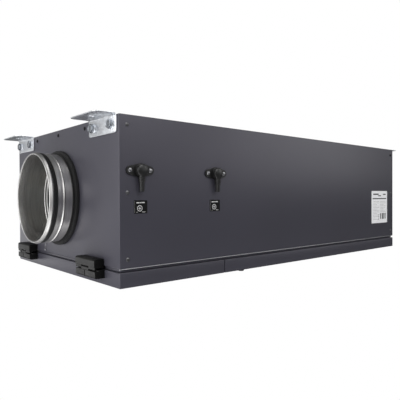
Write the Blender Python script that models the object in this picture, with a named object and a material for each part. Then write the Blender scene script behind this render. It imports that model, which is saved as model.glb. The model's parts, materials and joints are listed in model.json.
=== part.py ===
"""Compact duct mounted air handling unit.

The casing is a box of insulated sheet steel panels. Two hinged lids form its underside: a short one under the
filter at the inlet end, and a long one under the fan, heater and controls. A round duct connection leaves each
end, and four angle brackets hang the unit from rods.

X runs along the air path from the inlet (-X) to the outlet (+X), -Y is the service side and +Z is up. Heights
are measured from the underside of the lids. The whole unit hangs under one empty, which puts the middle of its
footprint at the origin and its latch heads on the ground plane.
"""

import math

import bmesh
import bpy
from mathutils import Matrix, Vector

# Casing
CASE_LENGTH = 1.045
CASE_WIDTH = 0.542
CASE_HEIGHT = 0.323
WALL = 0.030
SEAT = 0.0003
ROUND_PROFILE = 0.5

# Lids and the parting gap between them and the casing
LID_HEIGHT = 0.029
PARTING_GAP = 0.0074
FILTER_LID_LENGTH = 0.265
LID_SEAM = 0.002
GASKET_INSET = 0.019
RAIL_WIDTH = 0.056
RAIL_HEIGHT = 0.025

# Quarter turn latches under the lids
LATCH_RADIUS = 0.0075
LATCH_HEIGHT = 0.004
SERVICE_LATCH_BACK = 0.064
SERVICE_LATCH_IN = 0.013
FILTER_LATCH_BACK = 0.030

# Round duct connections
DUCT_LENGTH = 0.062
DUCT_ENTRY = 0.005
DUCT_RISE = 0.003
TUBE_RADIUS = 0.0985
TUBE_SHEET = 0.0015
RIM_PROUD = 0.0025
RIM_WIDTH = 0.0085
RIM_ROUND = 0.0010
SEAL_BACK = 0.0092
SEAL_GROOVE_WIDTH = 0.0096
SEAL_GROOVE_DEPTH = 0.0025
SEAL_PROUD = 0.0015
SEAL_LIP = 0.0022
BEAD_BACK = 0.0295
BEAD_WIDTH = 0.0050
BEAD_PROUD = 0.0013
COLLAR_PROUD = 0.0085
COLLAR_WIDTH = 0.0075
COLLAR_LIP_WIDTH = 0.0045
COLLAR_LIP_HEIGHT = 0.0016
DUCT_STEPS = 44

# Hanging brackets
BRACKET_WIDTH = 0.109
BRACKET_IN = 0.007
BRACKET_RISE = 0.002
BRACKET_LEG = 0.036
BRACKET_FLANGE = 0.045
BRACKET_SHEET = 0.0020
BRACKET_LEG_CORNER = 0.006
BRACKET_TIP_CORNER = 0.012
BRACKET_BEND = 0.0035
HANGER_HOLE_RADIUS = 0.0048

# Hinges between casing and lids
HINGE_WIDTH = 0.083
HINGE_IN_NEAR = 0.060
HINGE_IN_FAR = 0.050
HINGE_SHIFT = 0.0026
HINGE_PROUD = 0.021
HINGE_BODY_HEIGHT = 0.0173
HINGE_LID_HEIGHT = 0.0158
HINGE_PARTING = 0.004
HINGE_AXIS_IN = 0.0032
HINGE_AXIS_RISE = 0.0017
HINGE_NOTCH = 0.0036
KNUCKLE_RADIUS = 0.0026
KNUCKLE_NECK = 0.001
KNUCKLE_GAP = 0.0005
KNUCKLE_CENTRE = 0.031
HINGE_ROUND = 0.004

# Cable elbows on the service side
ELBOW_FRONT = 0.0435
ELBOW_REAR = 0.2370
ELBOW_Z = 0.2195
ELBOW_EAR_PITCH = 0.045
ELBOW_EAR_RADIUS = 0.0080
ELBOW_PLATE = 0.003
ELBOW_BODY_RADIUS = 0.0135
ELBOW_DOME_RADIUS = 0.0122
ELBOW_PROUD = 0.0155
SPOUT_RADIUS = 0.0066
SPOUT_COVER = 0.0008
SPOUT_TIP_RADIUS = 0.0048
SPOUT_SHOULDER = 0.022
SPOUT_DROP = 0.040

# Filter cassette and its rails
FILTER_BACK = 0.062
FILTER_DEPTH = 0.048
FILTER_FRAME = 0.014
FILTER_LIFT = 0.004
PLEAT_COUNT = 14
PLEAT_SHEET = 0.004
FILTER_RAIL_DEPTH = 0.018
FILTER_RAIL_SHEET = 0.0015
SLIDE = 0.0006

# Fan, its bulkhead and its motor
BULKHEAD_SHEET = 0.0020
NOZZLE_MOUTH = 0.086
NOZZLE_THROAT = 0.060
NOZZLE_DEPTH = 0.028
NOZZLE_SHEET = 0.0020
NOZZLE_FLANGE = 0.008
NOZZLE_OVERLAP = 0.009
NOZZLE_STEPS = 6
IMPELLER_RADIUS = 0.095
IMPELLER_EYE = 0.066
IMPELLER_WIDTH = 0.062
IMPELLER_OUTLET = 0.044
IMPELLER_SHEET = 0.0025
BLADE_COUNT = 7
BLADE_SWEEP = 48.0
BLADE_START_GAP = 0.004
BLADE_END_GAP = 0.001
BLADE_SHEET = 0.0020
BLADE_STEPS = 7
MOTOR_RADIUS = 0.045
MOTOR_LENGTH = 0.052
MOTOR_PLAIN = 0.031
MOTOR_FIN_COUNT = 3
FIN_DEPTH = 0.004
MOUNT_SHEET = 0.003
MOUNT_BORDER = 0.005
STANDOFF_RADIUS = 0.005
STANDOFF_CLEARANCE = 0.007
STANDOFF_HEIGHT = 0.055

# Heater and control box
HEATER_BACK = 0.330
HEATER_DEPTH = 0.090
HEATER_FLANGE = 0.018
ROD_RADIUS = 0.0042
ROD_ROWS = 3
ROD_COLUMNS = 6
CONTROL_HEIGHT = 0.140
CONTROL_DEPTH = 0.052
CONTROL_FRONT_GAP = 0.030
CONTROL_REAR_GAP = 0.075
CONTROL_LIP = 0.004
CONTROL_COVER = 0.012

# Planes that several pieces share
HALF_LENGTH = CASE_LENGTH / 2
HALF_WIDTH = CASE_WIDTH / 2
BODY_Z = LID_HEIGHT + PARTING_GAP
MITRE = SEAT * math.sqrt(2.0)
INNER_TOP = CASE_HEIGHT - WALL
FITTING_TOP = INNER_TOP - SEAT - MITRE
DUCT_Z = (BODY_Z + INNER_TOP) / 2 + DUCT_RISE
SEAM_X = FILTER_LID_LENGTH - HALF_LENGTH
AXIS_Z = LID_HEIGHT + HINGE_AXIS_RISE
AXIS_X = HALF_LENGTH + HINGE_PROUD - HINGE_AXIS_IN
BULKHEAD_X = SEAM_X + RAIL_WIDTH / 2 + SEAT
NOZZLE_X = BULKHEAD_X + BULKHEAD_SHEET + SEAT
WHEEL_X = NOZZLE_X + NOZZLE_DEPTH - NOZZLE_OVERLAP
MOTOR_X = WHEEL_X + IMPELLER_WIDTH - MOTOR_LENGTH / 2
MOUNT_X = MOTOR_X + MOTOR_LENGTH + SEAT
HEATER_X = SEAM_X + HEATER_BACK
HUB_RADIUS = MOTOR_RADIUS + SEAT
STANDOFF_Y = IMPELLER_RADIUS + STANDOFF_CLEARANCE + STANDOFF_RADIUS

# Colours, roughness and metallic value of each finish
FINISHES = {
    "graphite_paint": ((0.105, 0.103, 0.118), 0.42, 0.0),
    "galvanised_steel": ((0.56, 0.57, 0.58), 0.32, 1.0),
    "black_nylon": ((0.020, 0.020, 0.022), 0.50, 0.0),
    "black_rubber": ((0.014, 0.014, 0.015), 0.70, 0.0),
    "filter_media": ((0.74, 0.76, 0.74), 0.90, 0.0),
    "motor_casting": ((0.18, 0.18, 0.19), 0.45, 0.6),
}


def clear_scene():
    """Remove what a new file holds."""
    for item in list(bpy.data.objects):
        bpy.data.objects.remove(item, do_unlink=True)


def finish(name):
    """The material of one finish, made on first use."""
    material = bpy.data.materials.get(name)
    if material is None:
        colour, roughness, metallic = FINISHES[name]
        material = bpy.data.materials.new(name)
        material.use_nodes = True
        shader = material.node_tree.nodes["Principled BSDF"]
        shader.inputs["Base Color"].default_value = (*colour, 1.0)
        shader.inputs["Roughness"].default_value = roughness
        shader.inputs["Metallic"].default_value = metallic
    return material


def add_object(name, mesh_maker, finish_name, parent, location=(0.0, 0.0, 0.0), turn=0.0):
    """One named object whose mesh comes from mesh_maker, placed under its parent and turned about Z."""
    mesh = bpy.data.meshes.new(name)
    shape = bmesh.new()
    mesh_maker(shape)
    bmesh.ops.recalc_face_normals(shape, faces=shape.faces)
    shape.to_mesh(mesh)
    shape.free()
    mesh.materials.append(finish(finish_name))
    item = bpy.data.objects.new(name, mesh)
    bpy.context.collection.objects.link(item)
    item.parent = parent
    item.location = location
    item.rotation_euler = (0.0, 0.0, turn)
    return item


def smooth(item, degrees=40.0):
    """Shade a round piece smooth between its sharp edges."""
    item.data.shade_smooth()
    item.data.set_sharp_from_angle(angle=math.radians(degrees))


def boolean(item, tool, operation):
    """Cut item by tool, or join tool to it, and hide the tool."""
    tool.hide_render = True
    tool.display_type = "WIRE"
    modifier = item.modifiers.new(tool.name, "BOOLEAN")
    modifier.operation = operation
    modifier.solver = "EXACT"
    modifier.object = tool


def add_empty(name, parent, location):
    """An empty that carries pieces."""
    item = bpy.data.objects.new(name, None)
    bpy.context.collection.objects.link(item)
    item.parent = parent
    item.location = location
    return item


def arc(centre, radius, start, end, steps):
    """Points along an arc in a plane, angles in degrees."""
    points = []
    for step in range(steps + 1):
        angle = math.radians(start + (end - start) * step / steps)
        points.append((centre[0] + radius * math.cos(angle), centre[1] + radius * math.sin(angle)))
    return points


def prism(shape, outline, axis, low, high):
    """Extrude a closed outline along an axis. Across X it is given as (y, z), across Y (x, z), across Z (x, y)."""
    places = {
        "X": lambda u, v: (low, u, v),
        "Y": lambda u, v: (u, low, v),
        "Z": lambda u, v: (u, v, low),
    }
    direction = {"X": (1.0, 0.0, 0.0), "Y": (0.0, 1.0, 0.0), "Z": (0.0, 0.0, 1.0)}[axis]
    corners = [shape.verts.new(places[axis](u, v)) for u, v in outline]
    face = shape.faces.new(corners)
    grown = bmesh.ops.extrude_face_region(shape, geom=[face])
    moved = [part for part in grown["geom"] if isinstance(part, bmesh.types.BMVert)]
    bmesh.ops.translate(shape, vec=Vector(direction) * (high - low), verts=moved)


def block(shape, low, high):
    """A box between two corners."""
    outline = [(low[0], low[1]), (high[0], low[1]), (high[0], high[1]), (low[0], high[1])]
    prism(shape, outline, "Z", low[2], high[2])


def tapered_slab(shape, outer, inner):
    """A slab between two rectangles of four corners each, wider on one face for mitred edges."""
    first = [shape.verts.new(corner) for corner in outer]
    second = [shape.verts.new(corner) for corner in inner]
    shape.faces.new(first)
    shape.faces.new(list(reversed(second)))
    for index in range(4):
        after = (index + 1) % 4
        shape.faces.new([first[index], first[after], second[after], second[index]])


def revolve(shape, profile, steps=DUCT_STEPS):
    """Turn a closed profile of (along, radius) points about the X axis."""
    corners = [shape.verts.new((along, 0.0, radius)) for along, radius in profile]
    edges = []
    for index, corner in enumerate(corners):
        edges.append(shape.edges.new((corner, corners[(index + 1) % len(corners)])))
    bmesh.ops.spin(
        shape,
        geom=corners + edges,
        cent=(0.0, 0.0, 0.0),
        axis=(1.0, 0.0, 0.0),
        angle=math.tau,
        steps=steps,
        use_merge=True,
        use_duplicate=False,
    )


def turn_solid(shape, profile, axis, steps):
    """Turn an open profile of (along, radius) points, which starts and ends on the axis, about that axis."""
    places = {
        "X": lambda along, radius: (along, 0.0, radius),
        "Y": lambda along, radius: (radius, along, 0.0),
        "Z": lambda along, radius: (radius, 0.0, along),
    }
    direction = {"X": (1.0, 0.0, 0.0), "Y": (0.0, 1.0, 0.0), "Z": (0.0, 0.0, 1.0)}[axis]
    corners = [shape.verts.new(places[axis](along, radius)) for along, radius in profile]
    edges = [shape.edges.new(pair) for pair in zip(corners[:-1], corners[1:])]
    bmesh.ops.spin(
        shape,
        geom=corners + edges,
        cent=(0.0, 0.0, 0.0),
        axis=direction,
        angle=math.tau,
        steps=steps,
        use_merge=True,
        use_duplicate=False,
    )
    bmesh.ops.remove_doubles(shape, verts=shape.verts, dist=0.00001)


def rod(shape, start, end, radius, steps=12):
    """A round rod between two points."""
    run = Vector(end) - Vector(start)
    turn = run.to_track_quat("Z", "Y").to_matrix().to_4x4()
    middle = Matrix.Translation((Vector(start) + Vector(end)) / 2)
    bmesh.ops.create_cone(
        shape,
        cap_ends=True,
        segments=steps,
        radius1=radius,
        radius2=radius,
        depth=run.length,
        matrix=middle @ turn,
    )


def end_panel_shape(shape):
    """The inlet end panel, mitred at both upright edges and at its top."""
    top = CASE_HEIGHT - MITRE
    outer = [
        (-HALF_LENGTH, -HALF_WIDTH, BODY_Z),
        (-HALF_LENGTH, HALF_WIDTH, BODY_Z),
        (-HALF_LENGTH, HALF_WIDTH, top),
        (-HALF_LENGTH, -HALF_WIDTH, top),
    ]
    inner = [
        (-HALF_LENGTH + WALL, -HALF_WIDTH + WALL, BODY_Z),
        (-HALF_LENGTH + WALL, HALF_WIDTH - WALL, BODY_Z),
        (-HALF_LENGTH + WALL, HALF_WIDTH - WALL, top - WALL),
        (-HALF_LENGTH + WALL, -HALF_WIDTH + WALL, top - WALL),
    ]
    tapered_slab(shape, outer, inner)


def side_panel_shape(shape):
    """The service side panel, mitred at both upright edges and at its top."""
    top = CASE_HEIGHT - MITRE
    reach = HALF_LENGTH - MITRE
    outer = [
        (-reach, -HALF_WIDTH, BODY_Z),
        (reach, -HALF_WIDTH, BODY_Z),
        (reach, -HALF_WIDTH, top),
        (-reach, -HALF_WIDTH, top),
    ]
    inner = [
        (-reach + WALL, -HALF_WIDTH + WALL, BODY_Z),
        (reach - WALL, -HALF_WIDTH + WALL, BODY_Z),
        (reach - WALL, -HALF_WIDTH + WALL, top - WALL),
        (-reach + WALL, -HALF_WIDTH + WALL, top - WALL),
    ]
    tapered_slab(shape, outer, inner)


def top_panel_shape(shape):
    """The top panel, mitred on all four edges."""
    outer = [
        (-HALF_LENGTH, -HALF_WIDTH, CASE_HEIGHT),
        (HALF_LENGTH, -HALF_WIDTH, CASE_HEIGHT),
        (HALF_LENGTH, HALF_WIDTH, CASE_HEIGHT),
        (-HALF_LENGTH, HALF_WIDTH, CASE_HEIGHT),
    ]
    inner = [
        (-HALF_LENGTH + WALL, -HALF_WIDTH + WALL, INNER_TOP),
        (HALF_LENGTH - WALL, -HALF_WIDTH + WALL, INNER_TOP),
        (HALF_LENGTH - WALL, HALF_WIDTH - WALL, INNER_TOP),
        (-HALF_LENGTH + WALL, HALF_WIDTH - WALL, INNER_TOP),
    ]
    tapered_slab(shape, outer, inner)


def build_casing(unit):
    """The five insulated panels, with a round opening in each end."""
    for name, turn in (("front_panel", 0.0), ("rear_panel", math.pi)):
        panel = add_object(name, end_panel_shape, "graphite_paint", unit, turn=turn)
        opening = add_object(
            name + "_opening",
            lambda shape: rod(
                shape,
                (-HALF_LENGTH - WALL, 0.0, DUCT_Z),
                (-HALF_LENGTH + 2 * WALL, 0.0, DUCT_Z),
                TUBE_RADIUS + SEAT,
                DUCT_STEPS,
            ),
            "graphite_paint",
            unit,
            turn=turn,
        )
        boolean(panel, opening, "DIFFERENCE")
    for name, turn in (("near_side_panel", 0.0), ("far_side_panel", math.pi)):
        add_object(name, side_panel_shape, "graphite_paint", unit, turn=turn)
    add_object("top_panel", top_panel_shape, "graphite_paint", unit)


def gasket_shape(shape):
    """The foam seal around both lid openings, with a bar along the lid seam."""
    low = LID_HEIGHT + SEAT
    high = BODY_Z - SEAT
    reach_x = HALF_LENGTH - GASKET_INSET
    reach_y = HALF_WIDTH - GASKET_INSET
    block(shape, (-reach_x, -reach_y, low), (reach_x, reach_y, high))


def gasket_bay_shape(start, end):
    """The opening in the seal over one lid."""
    inner_y = HALF_WIDTH - WALL

    def shape_maker(shape):
        block(shape, (start, -inner_y, 0.0), (end, inner_y, CASE_HEIGHT))

    return shape_maker


def build_gasket(unit):
    """The seal and the rail that carries it across the casing over the lid seam."""
    gasket = add_object("casing_gasket", gasket_shape, "black_rubber", unit)
    bays = (
        ("filter_bay", WALL - HALF_LENGTH, SEAM_X - RAIL_WIDTH / 2),
        ("service_bay", SEAM_X + RAIL_WIDTH / 2, HALF_LENGTH - WALL),
    )
    for name, start, end in bays:
        bay = add_object(name, gasket_bay_shape(start, end), "black_rubber", unit)
        boolean(gasket, bay, "DIFFERENCE")
    reach = HALF_WIDTH - WALL - SEAT
    add_object(
        "lid_seam_rail",
        lambda shape: block(
            shape,
            (-RAIL_WIDTH / 2, -reach, BODY_Z),
            (RAIL_WIDTH / 2, reach, BODY_Z + RAIL_HEIGHT),
        ),
        "galvanised_steel",
        unit,
        location=(SEAM_X, 0.0, 0.0),
    )


def spigot_profile():
    """The section of a duct connection, from its mouth at 0 to its end just inside the wall."""
    back = DUCT_LENGTH + DUCT_ENTRY
    seal_end = SEAL_BACK + SEAL_GROOVE_WIDTH
    bead_end = BEAD_BACK + BEAD_WIDTH
    rim = TUBE_RADIUS + RIM_PROUD
    bead = TUBE_RADIUS + BEAD_PROUD
    floor = TUBE_RADIUS - SEAL_GROOVE_DEPTH
    bore = TUBE_RADIUS - TUBE_SHEET
    ridge = floor - TUBE_SHEET
    return [
        (0.0, rim - RIM_ROUND),
        (RIM_ROUND, rim),
        (RIM_WIDTH - RIM_ROUND, rim),
        (RIM_WIDTH, TUBE_RADIUS),
        (SEAL_BACK, TUBE_RADIUS),
        (SEAL_BACK, floor),
        (seal_end, floor),
        (seal_end, TUBE_RADIUS),
        (BEAD_BACK, TUBE_RADIUS),
        (BEAD_BACK + BEAD_WIDTH / 3, bead),
        (bead_end - BEAD_WIDTH / 3, bead),
        (bead_end, TUBE_RADIUS),
        (back, TUBE_RADIUS),
        (back, bore),
        (seal_end + TUBE_SHEET, bore),
        (seal_end, ridge),
        (SEAL_BACK, ridge),
        (RIM_WIDTH - RIM_ROUND, rim - TUBE_SHEET),
        (0.0, rim - TUBE_SHEET),
    ]


def seal_profile():
    """The rubber seal with two lips that lies in the groove of a duct connection."""
    floor = TUBE_RADIUS - SEAL_GROOVE_DEPTH + SEAT
    low = SEAL_BACK + SEAT
    high = SEAL_BACK + SEAL_GROOVE_WIDTH - SEAT
    third = (high - low) / 3
    top = TUBE_RADIUS + SEAL_PROUD
    root = top - SEAL_LIP
    return [
        (low, floor),
        (low, root),
        (low + third, top),
        (low + third, root),
        (high - third, top),
        (high, root),
        (high, floor),
    ]


def collar_profile():
    """The dark collar that seals a duct connection to the wall, with a thin lip along the tube."""
    inner = TUBE_RADIUS + SEAT
    lip = inner + COLLAR_LIP_HEIGHT
    top = TUBE_RADIUS + COLLAR_PROUD
    start = DUCT_LENGTH - COLLAR_WIDTH
    back = DUCT_LENGTH - SEAT
    return [
        (start - COLLAR_LIP_WIDTH, inner),
        (start - COLLAR_LIP_WIDTH, lip),
        (start, lip),
        (start, top - RIM_ROUND),
        (start + RIM_ROUND, top),
        (back, top),
        (back, inner),
    ]


def build_duct_connections(unit):
    """The inlet and outlet connections, each with its rubber seal and its collar."""
    mouth = (-HALF_LENGTH - DUCT_LENGTH, 0.0, DUCT_Z)
    for name, turn in (("inlet", 0.0), ("outlet", math.pi)):
        place = Vector(mouth)
        place.rotate(Matrix.Rotation(turn, 3, "Z"))
        pieces = (
            (name + "_spigot", spigot_profile(), "galvanised_steel"),
            (name + "_seal", seal_profile(), "black_rubber"),
            (name + "_collar", collar_profile(), "black_rubber"),
        )
        for piece, profile, finish_name in pieces:
            item = add_object(
                piece,
                lambda shape, profile=profile: revolve(shape, profile),
                finish_name,
                unit,
                location=place,
                turn=turn,
            )
            smooth(item)


def bracket_shape(shape):
    """A bent angle: its leg lies on the wall at x = 0 and its flange reaches out to -X, level with the top."""
    sheet = BRACKET_SHEET
    outline = [(0.0, -BRACKET_LEG)]
    outline += arc((-sheet - BRACKET_BEND, -sheet - BRACKET_BEND), sheet + BRACKET_BEND, 0.0, 90.0, 4)
    outline += [(-BRACKET_FLANGE, 0.0), (-BRACKET_FLANGE, -sheet)]
    outline += arc((-sheet - BRACKET_BEND, -sheet - BRACKET_BEND), BRACKET_BEND, 90.0, 0.0, 4)
    outline += [(-sheet, -BRACKET_LEG)]
    half = BRACKET_WIDTH / 2
    prism(shape, outline, "Y", -half, half)
    leg_corners = []
    tip_corners = []
    for edge in shape.edges:
        first, second = edge.verts
        middle = (first.co + second.co) / 2
        at_side = abs(abs(middle.y) - half) < SEAT and abs(edge.calc_length() - sheet) < SEAT
        if at_side and abs(middle.z + BRACKET_LEG) < SEAT:
            leg_corners.append(edge)
        if at_side and abs(middle.x + BRACKET_FLANGE) < SEAT:
            tip_corners.append(edge)
    for corners, radius in ((leg_corners, BRACKET_LEG_CORNER), (tip_corners, BRACKET_TIP_CORNER)):
        bmesh.ops.bevel(shape, geom=corners, offset=radius, segments=4, profile=ROUND_PROFILE, affect="EDGES")


def hanger_hole_shape(shape):
    """The round hole for a hanging rod in a bracket flange."""
    middle = -(BRACKET_FLANGE + BRACKET_SHEET) / 2
    reach = 2 * BRACKET_SHEET
    rod(shape, (middle, 0.0, -reach), (middle, 0.0, reach), HANGER_HOLE_RADIUS, 16)


def build_brackets(unit):
    """The four hanging brackets at the top corners of both end faces."""
    offset = HALF_WIDTH - BRACKET_IN - BRACKET_WIDTH / 2
    for end, turn in (("front", 0.0), ("rear", math.pi)):
        for side, across in (("near", -offset), ("far", offset)):
            name = "bracket_" + end + "_" + side
            reach = -HALF_LENGTH - SEAT if end == "front" else HALF_LENGTH + SEAT
            place = (reach, across, CASE_HEIGHT + BRACKET_RISE)
            bracket = add_object(name, bracket_shape, "galvanised_steel", unit, place, turn)
            hole = add_object(name + "_hole", hanger_hole_shape, "galvanised_steel", unit, place, turn)
            boolean(bracket, hole, "DIFFERENCE")


def hinge_body_outline():
    """Section (x, z) of a casing hinge leaf about the pivot, with the outer face towards -X."""
    face = HINGE_PROUD - HINGE_AXIS_IN - SEAT
    low = HINGE_PARTING / 2
    top = low + HINGE_BODY_HEIGHT
    outer = -HINGE_AXIS_IN
    outline = [(face, low), (face, top)]
    outline += arc((outer + HINGE_ROUND, top - HINGE_ROUND), HINGE_ROUND, 90.0, 180.0, 4)
    outline += [(outer, HINGE_NOTCH), (HINGE_NOTCH, HINGE_NOTCH), (HINGE_NOTCH, low)]
    return outline


def hinge_lid_outline():
    """Section (x, z) of a lid hinge leaf about the pivot, with the outer face towards -X."""
    face = HINGE_PROUD - HINGE_AXIS_IN - SEAT
    top = -HINGE_PARTING / 2
    low = top - HINGE_LID_HEIGHT
    outer = -HINGE_AXIS_IN
    outline = [(face, low), (face, top), (HINGE_NOTCH, top), (HINGE_NOTCH, -HINGE_NOTCH), (outer, -HINGE_NOTCH)]
    outline += arc((outer + HINGE_ROUND, low + HINGE_ROUND), HINGE_ROUND, 180.0, 270.0, 4)
    return outline


def knuckle_outline(side):
    """Section of a knuckle: a barrel about the pivot with a neck into its own leaf, up for 1 and down for -1."""
    neck = HINGE_NOTCH + KNUCKLE_NECK
    outline = arc((0.0, 0.0), KNUCKLE_RADIUS, 180.0, 360.0, 8)
    outline += [(KNUCKLE_RADIUS, neck), (-KNUCKLE_RADIUS, neck)]
    return [(across, up * side) for across, up in outline]


def build_hinge_leaf(name, outline, knuckle_side, spans, parent, place, turn):
    """One hinge leaf with its knuckles joined to it."""
    half = HINGE_WIDTH / 2
    leaf = add_object(
        name, lambda shape: prism(shape, outline, "Y", -half, half), "black_nylon", parent, place, turn
    )
    for index, (low, high) in enumerate(spans):
        knuckle = add_object(
            name + "_knuckle_" + str(index),
            lambda shape: prism(shape, knuckle_outline(knuckle_side), "Y", low, high),
            "black_nylon",
            parent,
            place,
            turn,
        )
        boolean(leaf, knuckle, "UNION")


def build_hinges(unit, filter_door, service_door):
    """A pair of hinges at each end of the casing. The lid leaf sits a little nearer the service side."""
    half = HINGE_WIDTH / 2
    centre = KNUCKLE_CENTRE / 2
    outer_spans = ((-half, -centre - KNUCKLE_GAP), (centre + KNUCKLE_GAP, half))
    sides = (("near", HINGE_IN_NEAR + half - HALF_WIDTH), ("far", HALF_WIDTH - HINGE_IN_FAR - half))
    for end, turn, facing, door in (("front", 0.0, 1.0, filter_door), ("rear", math.pi, -1.0, service_door)):
        centre_span = ((facing * HINGE_SHIFT - centre, facing * HINGE_SHIFT + centre),)
        for side, across in sides:
            name = end + "_" + side
            pivot = (-facing * AXIS_X, across, AXIS_Z)
            lid_place = (0.0, across - HINGE_SHIFT, 0.0)
            build_hinge_leaf("hinge_body_" + name, hinge_body_outline(), 1, outer_spans, unit, pivot, turn)
            build_hinge_leaf("hinge_lid_" + name, hinge_lid_outline(), -1, centre_span, door, lid_place, turn)


def build_lids(filter_door, service_door):
    """The two insulated lids. Each door empty stands on its hinge axis."""
    seam_half = LID_SEAM / 2
    add_object(
        "filter_lid",
        lambda shape: block(
            shape,
            (-HALF_LENGTH + AXIS_X, -HALF_WIDTH, -AXIS_Z),
            (SEAM_X - seam_half + AXIS_X, HALF_WIDTH, LID_HEIGHT - AXIS_Z),
        ),
        "graphite_paint",
        filter_door,
    )
    add_object(
        "service_lid",
        lambda shape: block(
            shape,
            (SEAM_X + seam_half - AXIS_X, -HALF_WIDTH, -AXIS_Z),
            (HALF_LENGTH - AXIS_X, HALF_WIDTH, LID_HEIGHT - AXIS_Z),
        ),
        "graphite_paint",
        service_door,
    )


def latch_shape(shape):
    """A low quarter turn latch head with a chamfered edge."""
    profile = [
        (-SEAT, 0.0),
        (-SEAT, LATCH_RADIUS),
        (-LATCH_HEIGHT * 0.7, LATCH_RADIUS),
        (-LATCH_HEIGHT, LATCH_RADIUS * 0.8),
        (-LATCH_HEIGHT, 0.0),
    ]
    turn_solid(shape, profile, "Z", 24)


def build_latches(filter_door, service_door):
    """The latch heads under the lids: one on the filter lid and two on the service lid."""
    under = -AXIS_Z
    add_object(
        "filter_latch",
        latch_shape,
        "black_nylon",
        filter_door,
        (SEAM_X - FILTER_LATCH_BACK + AXIS_X, 0.0, under),
    )
    for side, across in (("near", -1.0), ("far", 1.0)):
        add_object(
            "service_latch_" + side,
            latch_shape,
            "black_nylon",
            service_door,
            (SEAM_X + SERVICE_LATCH_BACK - AXIS_X, across * (HALF_WIDTH - SERVICE_LATCH_IN), under),
        )


def elbow_plate_outline():
    """The plate of a cable elbow (x, z): a round middle with an ear on each side."""
    body = ELBOW_BODY_RADIUS
    ear = ELBOW_EAR_RADIUS
    half = ELBOW_EAR_PITCH / 2
    lean = math.degrees(math.asin((body - ear) / half))
    outline = arc((half, 0.0), ear, -90.0 + lean, 90.0 - lean, 8)
    outline += arc((0.0, 0.0), body, 90.0 - lean, 90.0 + lean, 3)
    outline += arc((-half, 0.0), ear, 90.0 + lean, 270.0 - lean, 8)
    outline += arc((0.0, 0.0), body, 270.0 - lean, 270.0 + lean, 3)
    return outline


def elbow_dome_profile():
    """Half section (along, radius) of the round body, closed on its axis."""
    body = ELBOW_DOME_RADIUS
    crown = body / 3
    root = SEAT - ELBOW_PLATE
    shoulder = crown - ELBOW_PROUD
    profile = [(root, 0.0), (root, body), (shoulder, body)]
    for step in range(1, 5):
        angle = math.radians(90.0 * step / 5)
        profile.append((shoulder - crown * math.sin(angle), body * math.cos(angle)))
    profile.append((-ELBOW_PROUD, 0.0))
    return profile


def spout_profile():
    """Half section (along, radius) of the spout under the body, with its narrower tip."""
    return [
        (0.0, 0.0),
        (0.0, SPOUT_RADIUS),
        (-SPOUT_SHOULDER, SPOUT_RADIUS),
        (-SPOUT_SHOULDER, SPOUT_TIP_RADIUS),
        (-SPOUT_DROP, SPOUT_TIP_RADIUS),
        (-SPOUT_DROP, 0.0),
    ]


def build_cable_elbows(unit):
    """The two cable elbows, each a flanged body with a spout that points down."""
    for name, back in (("cable_elbow_front", ELBOW_FRONT), ("cable_elbow_rear", ELBOW_REAR)):
        place = (back - HALF_LENGTH, -HALF_WIDTH, ELBOW_Z)
        spout_y = SPOUT_RADIUS + SPOUT_COVER - ELBOW_PROUD - HALF_WIDTH
        spout_place = (back - HALF_LENGTH, spout_y, ELBOW_Z)
        elbow = add_object(
            name,
            lambda shape: prism(shape, elbow_plate_outline(), "Y", -ELBOW_PLATE, -SEAT),
            "black_nylon",
            unit,
            place,
        )
        dome = add_object(
            name + "_body",
            lambda shape: turn_solid(shape, elbow_dome_profile(), "Y", 24),
            "black_nylon",
            unit,
            place,
        )
        spout = add_object(
            name + "_spout",
            lambda shape: turn_solid(shape, spout_profile(), "Z", 20),
            "black_nylon",
            unit,
            spout_place,
        )
        boolean(elbow, dome, "UNION")
        boolean(elbow, spout, "UNION")
        smooth(elbow)


def filter_limits():
    """Half width, bottom and top of the filter cassette."""
    half = HALF_WIDTH - WALL - 2 * SEAT - FILTER_RAIL_SHEET
    return half, BODY_Z + FILTER_LIFT, FITTING_TOP


def pleat_outline():
    """Plan outline (x, y) of the pleated media across the frame."""
    half = filter_limits()[0] - FILTER_FRAME / 2
    reach = FILTER_DEPTH / 2 - PLEAT_SHEET
    forward = []
    for step in range(2 * PLEAT_COUNT + 1):
        across = -half + 2 * half * step / (2 * PLEAT_COUNT)
        forward.append((reach * (1 if step % 2 else -1), across))
    back = [(along + PLEAT_SHEET, across) for along, across in reversed(forward)]
    return forward + back


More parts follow.
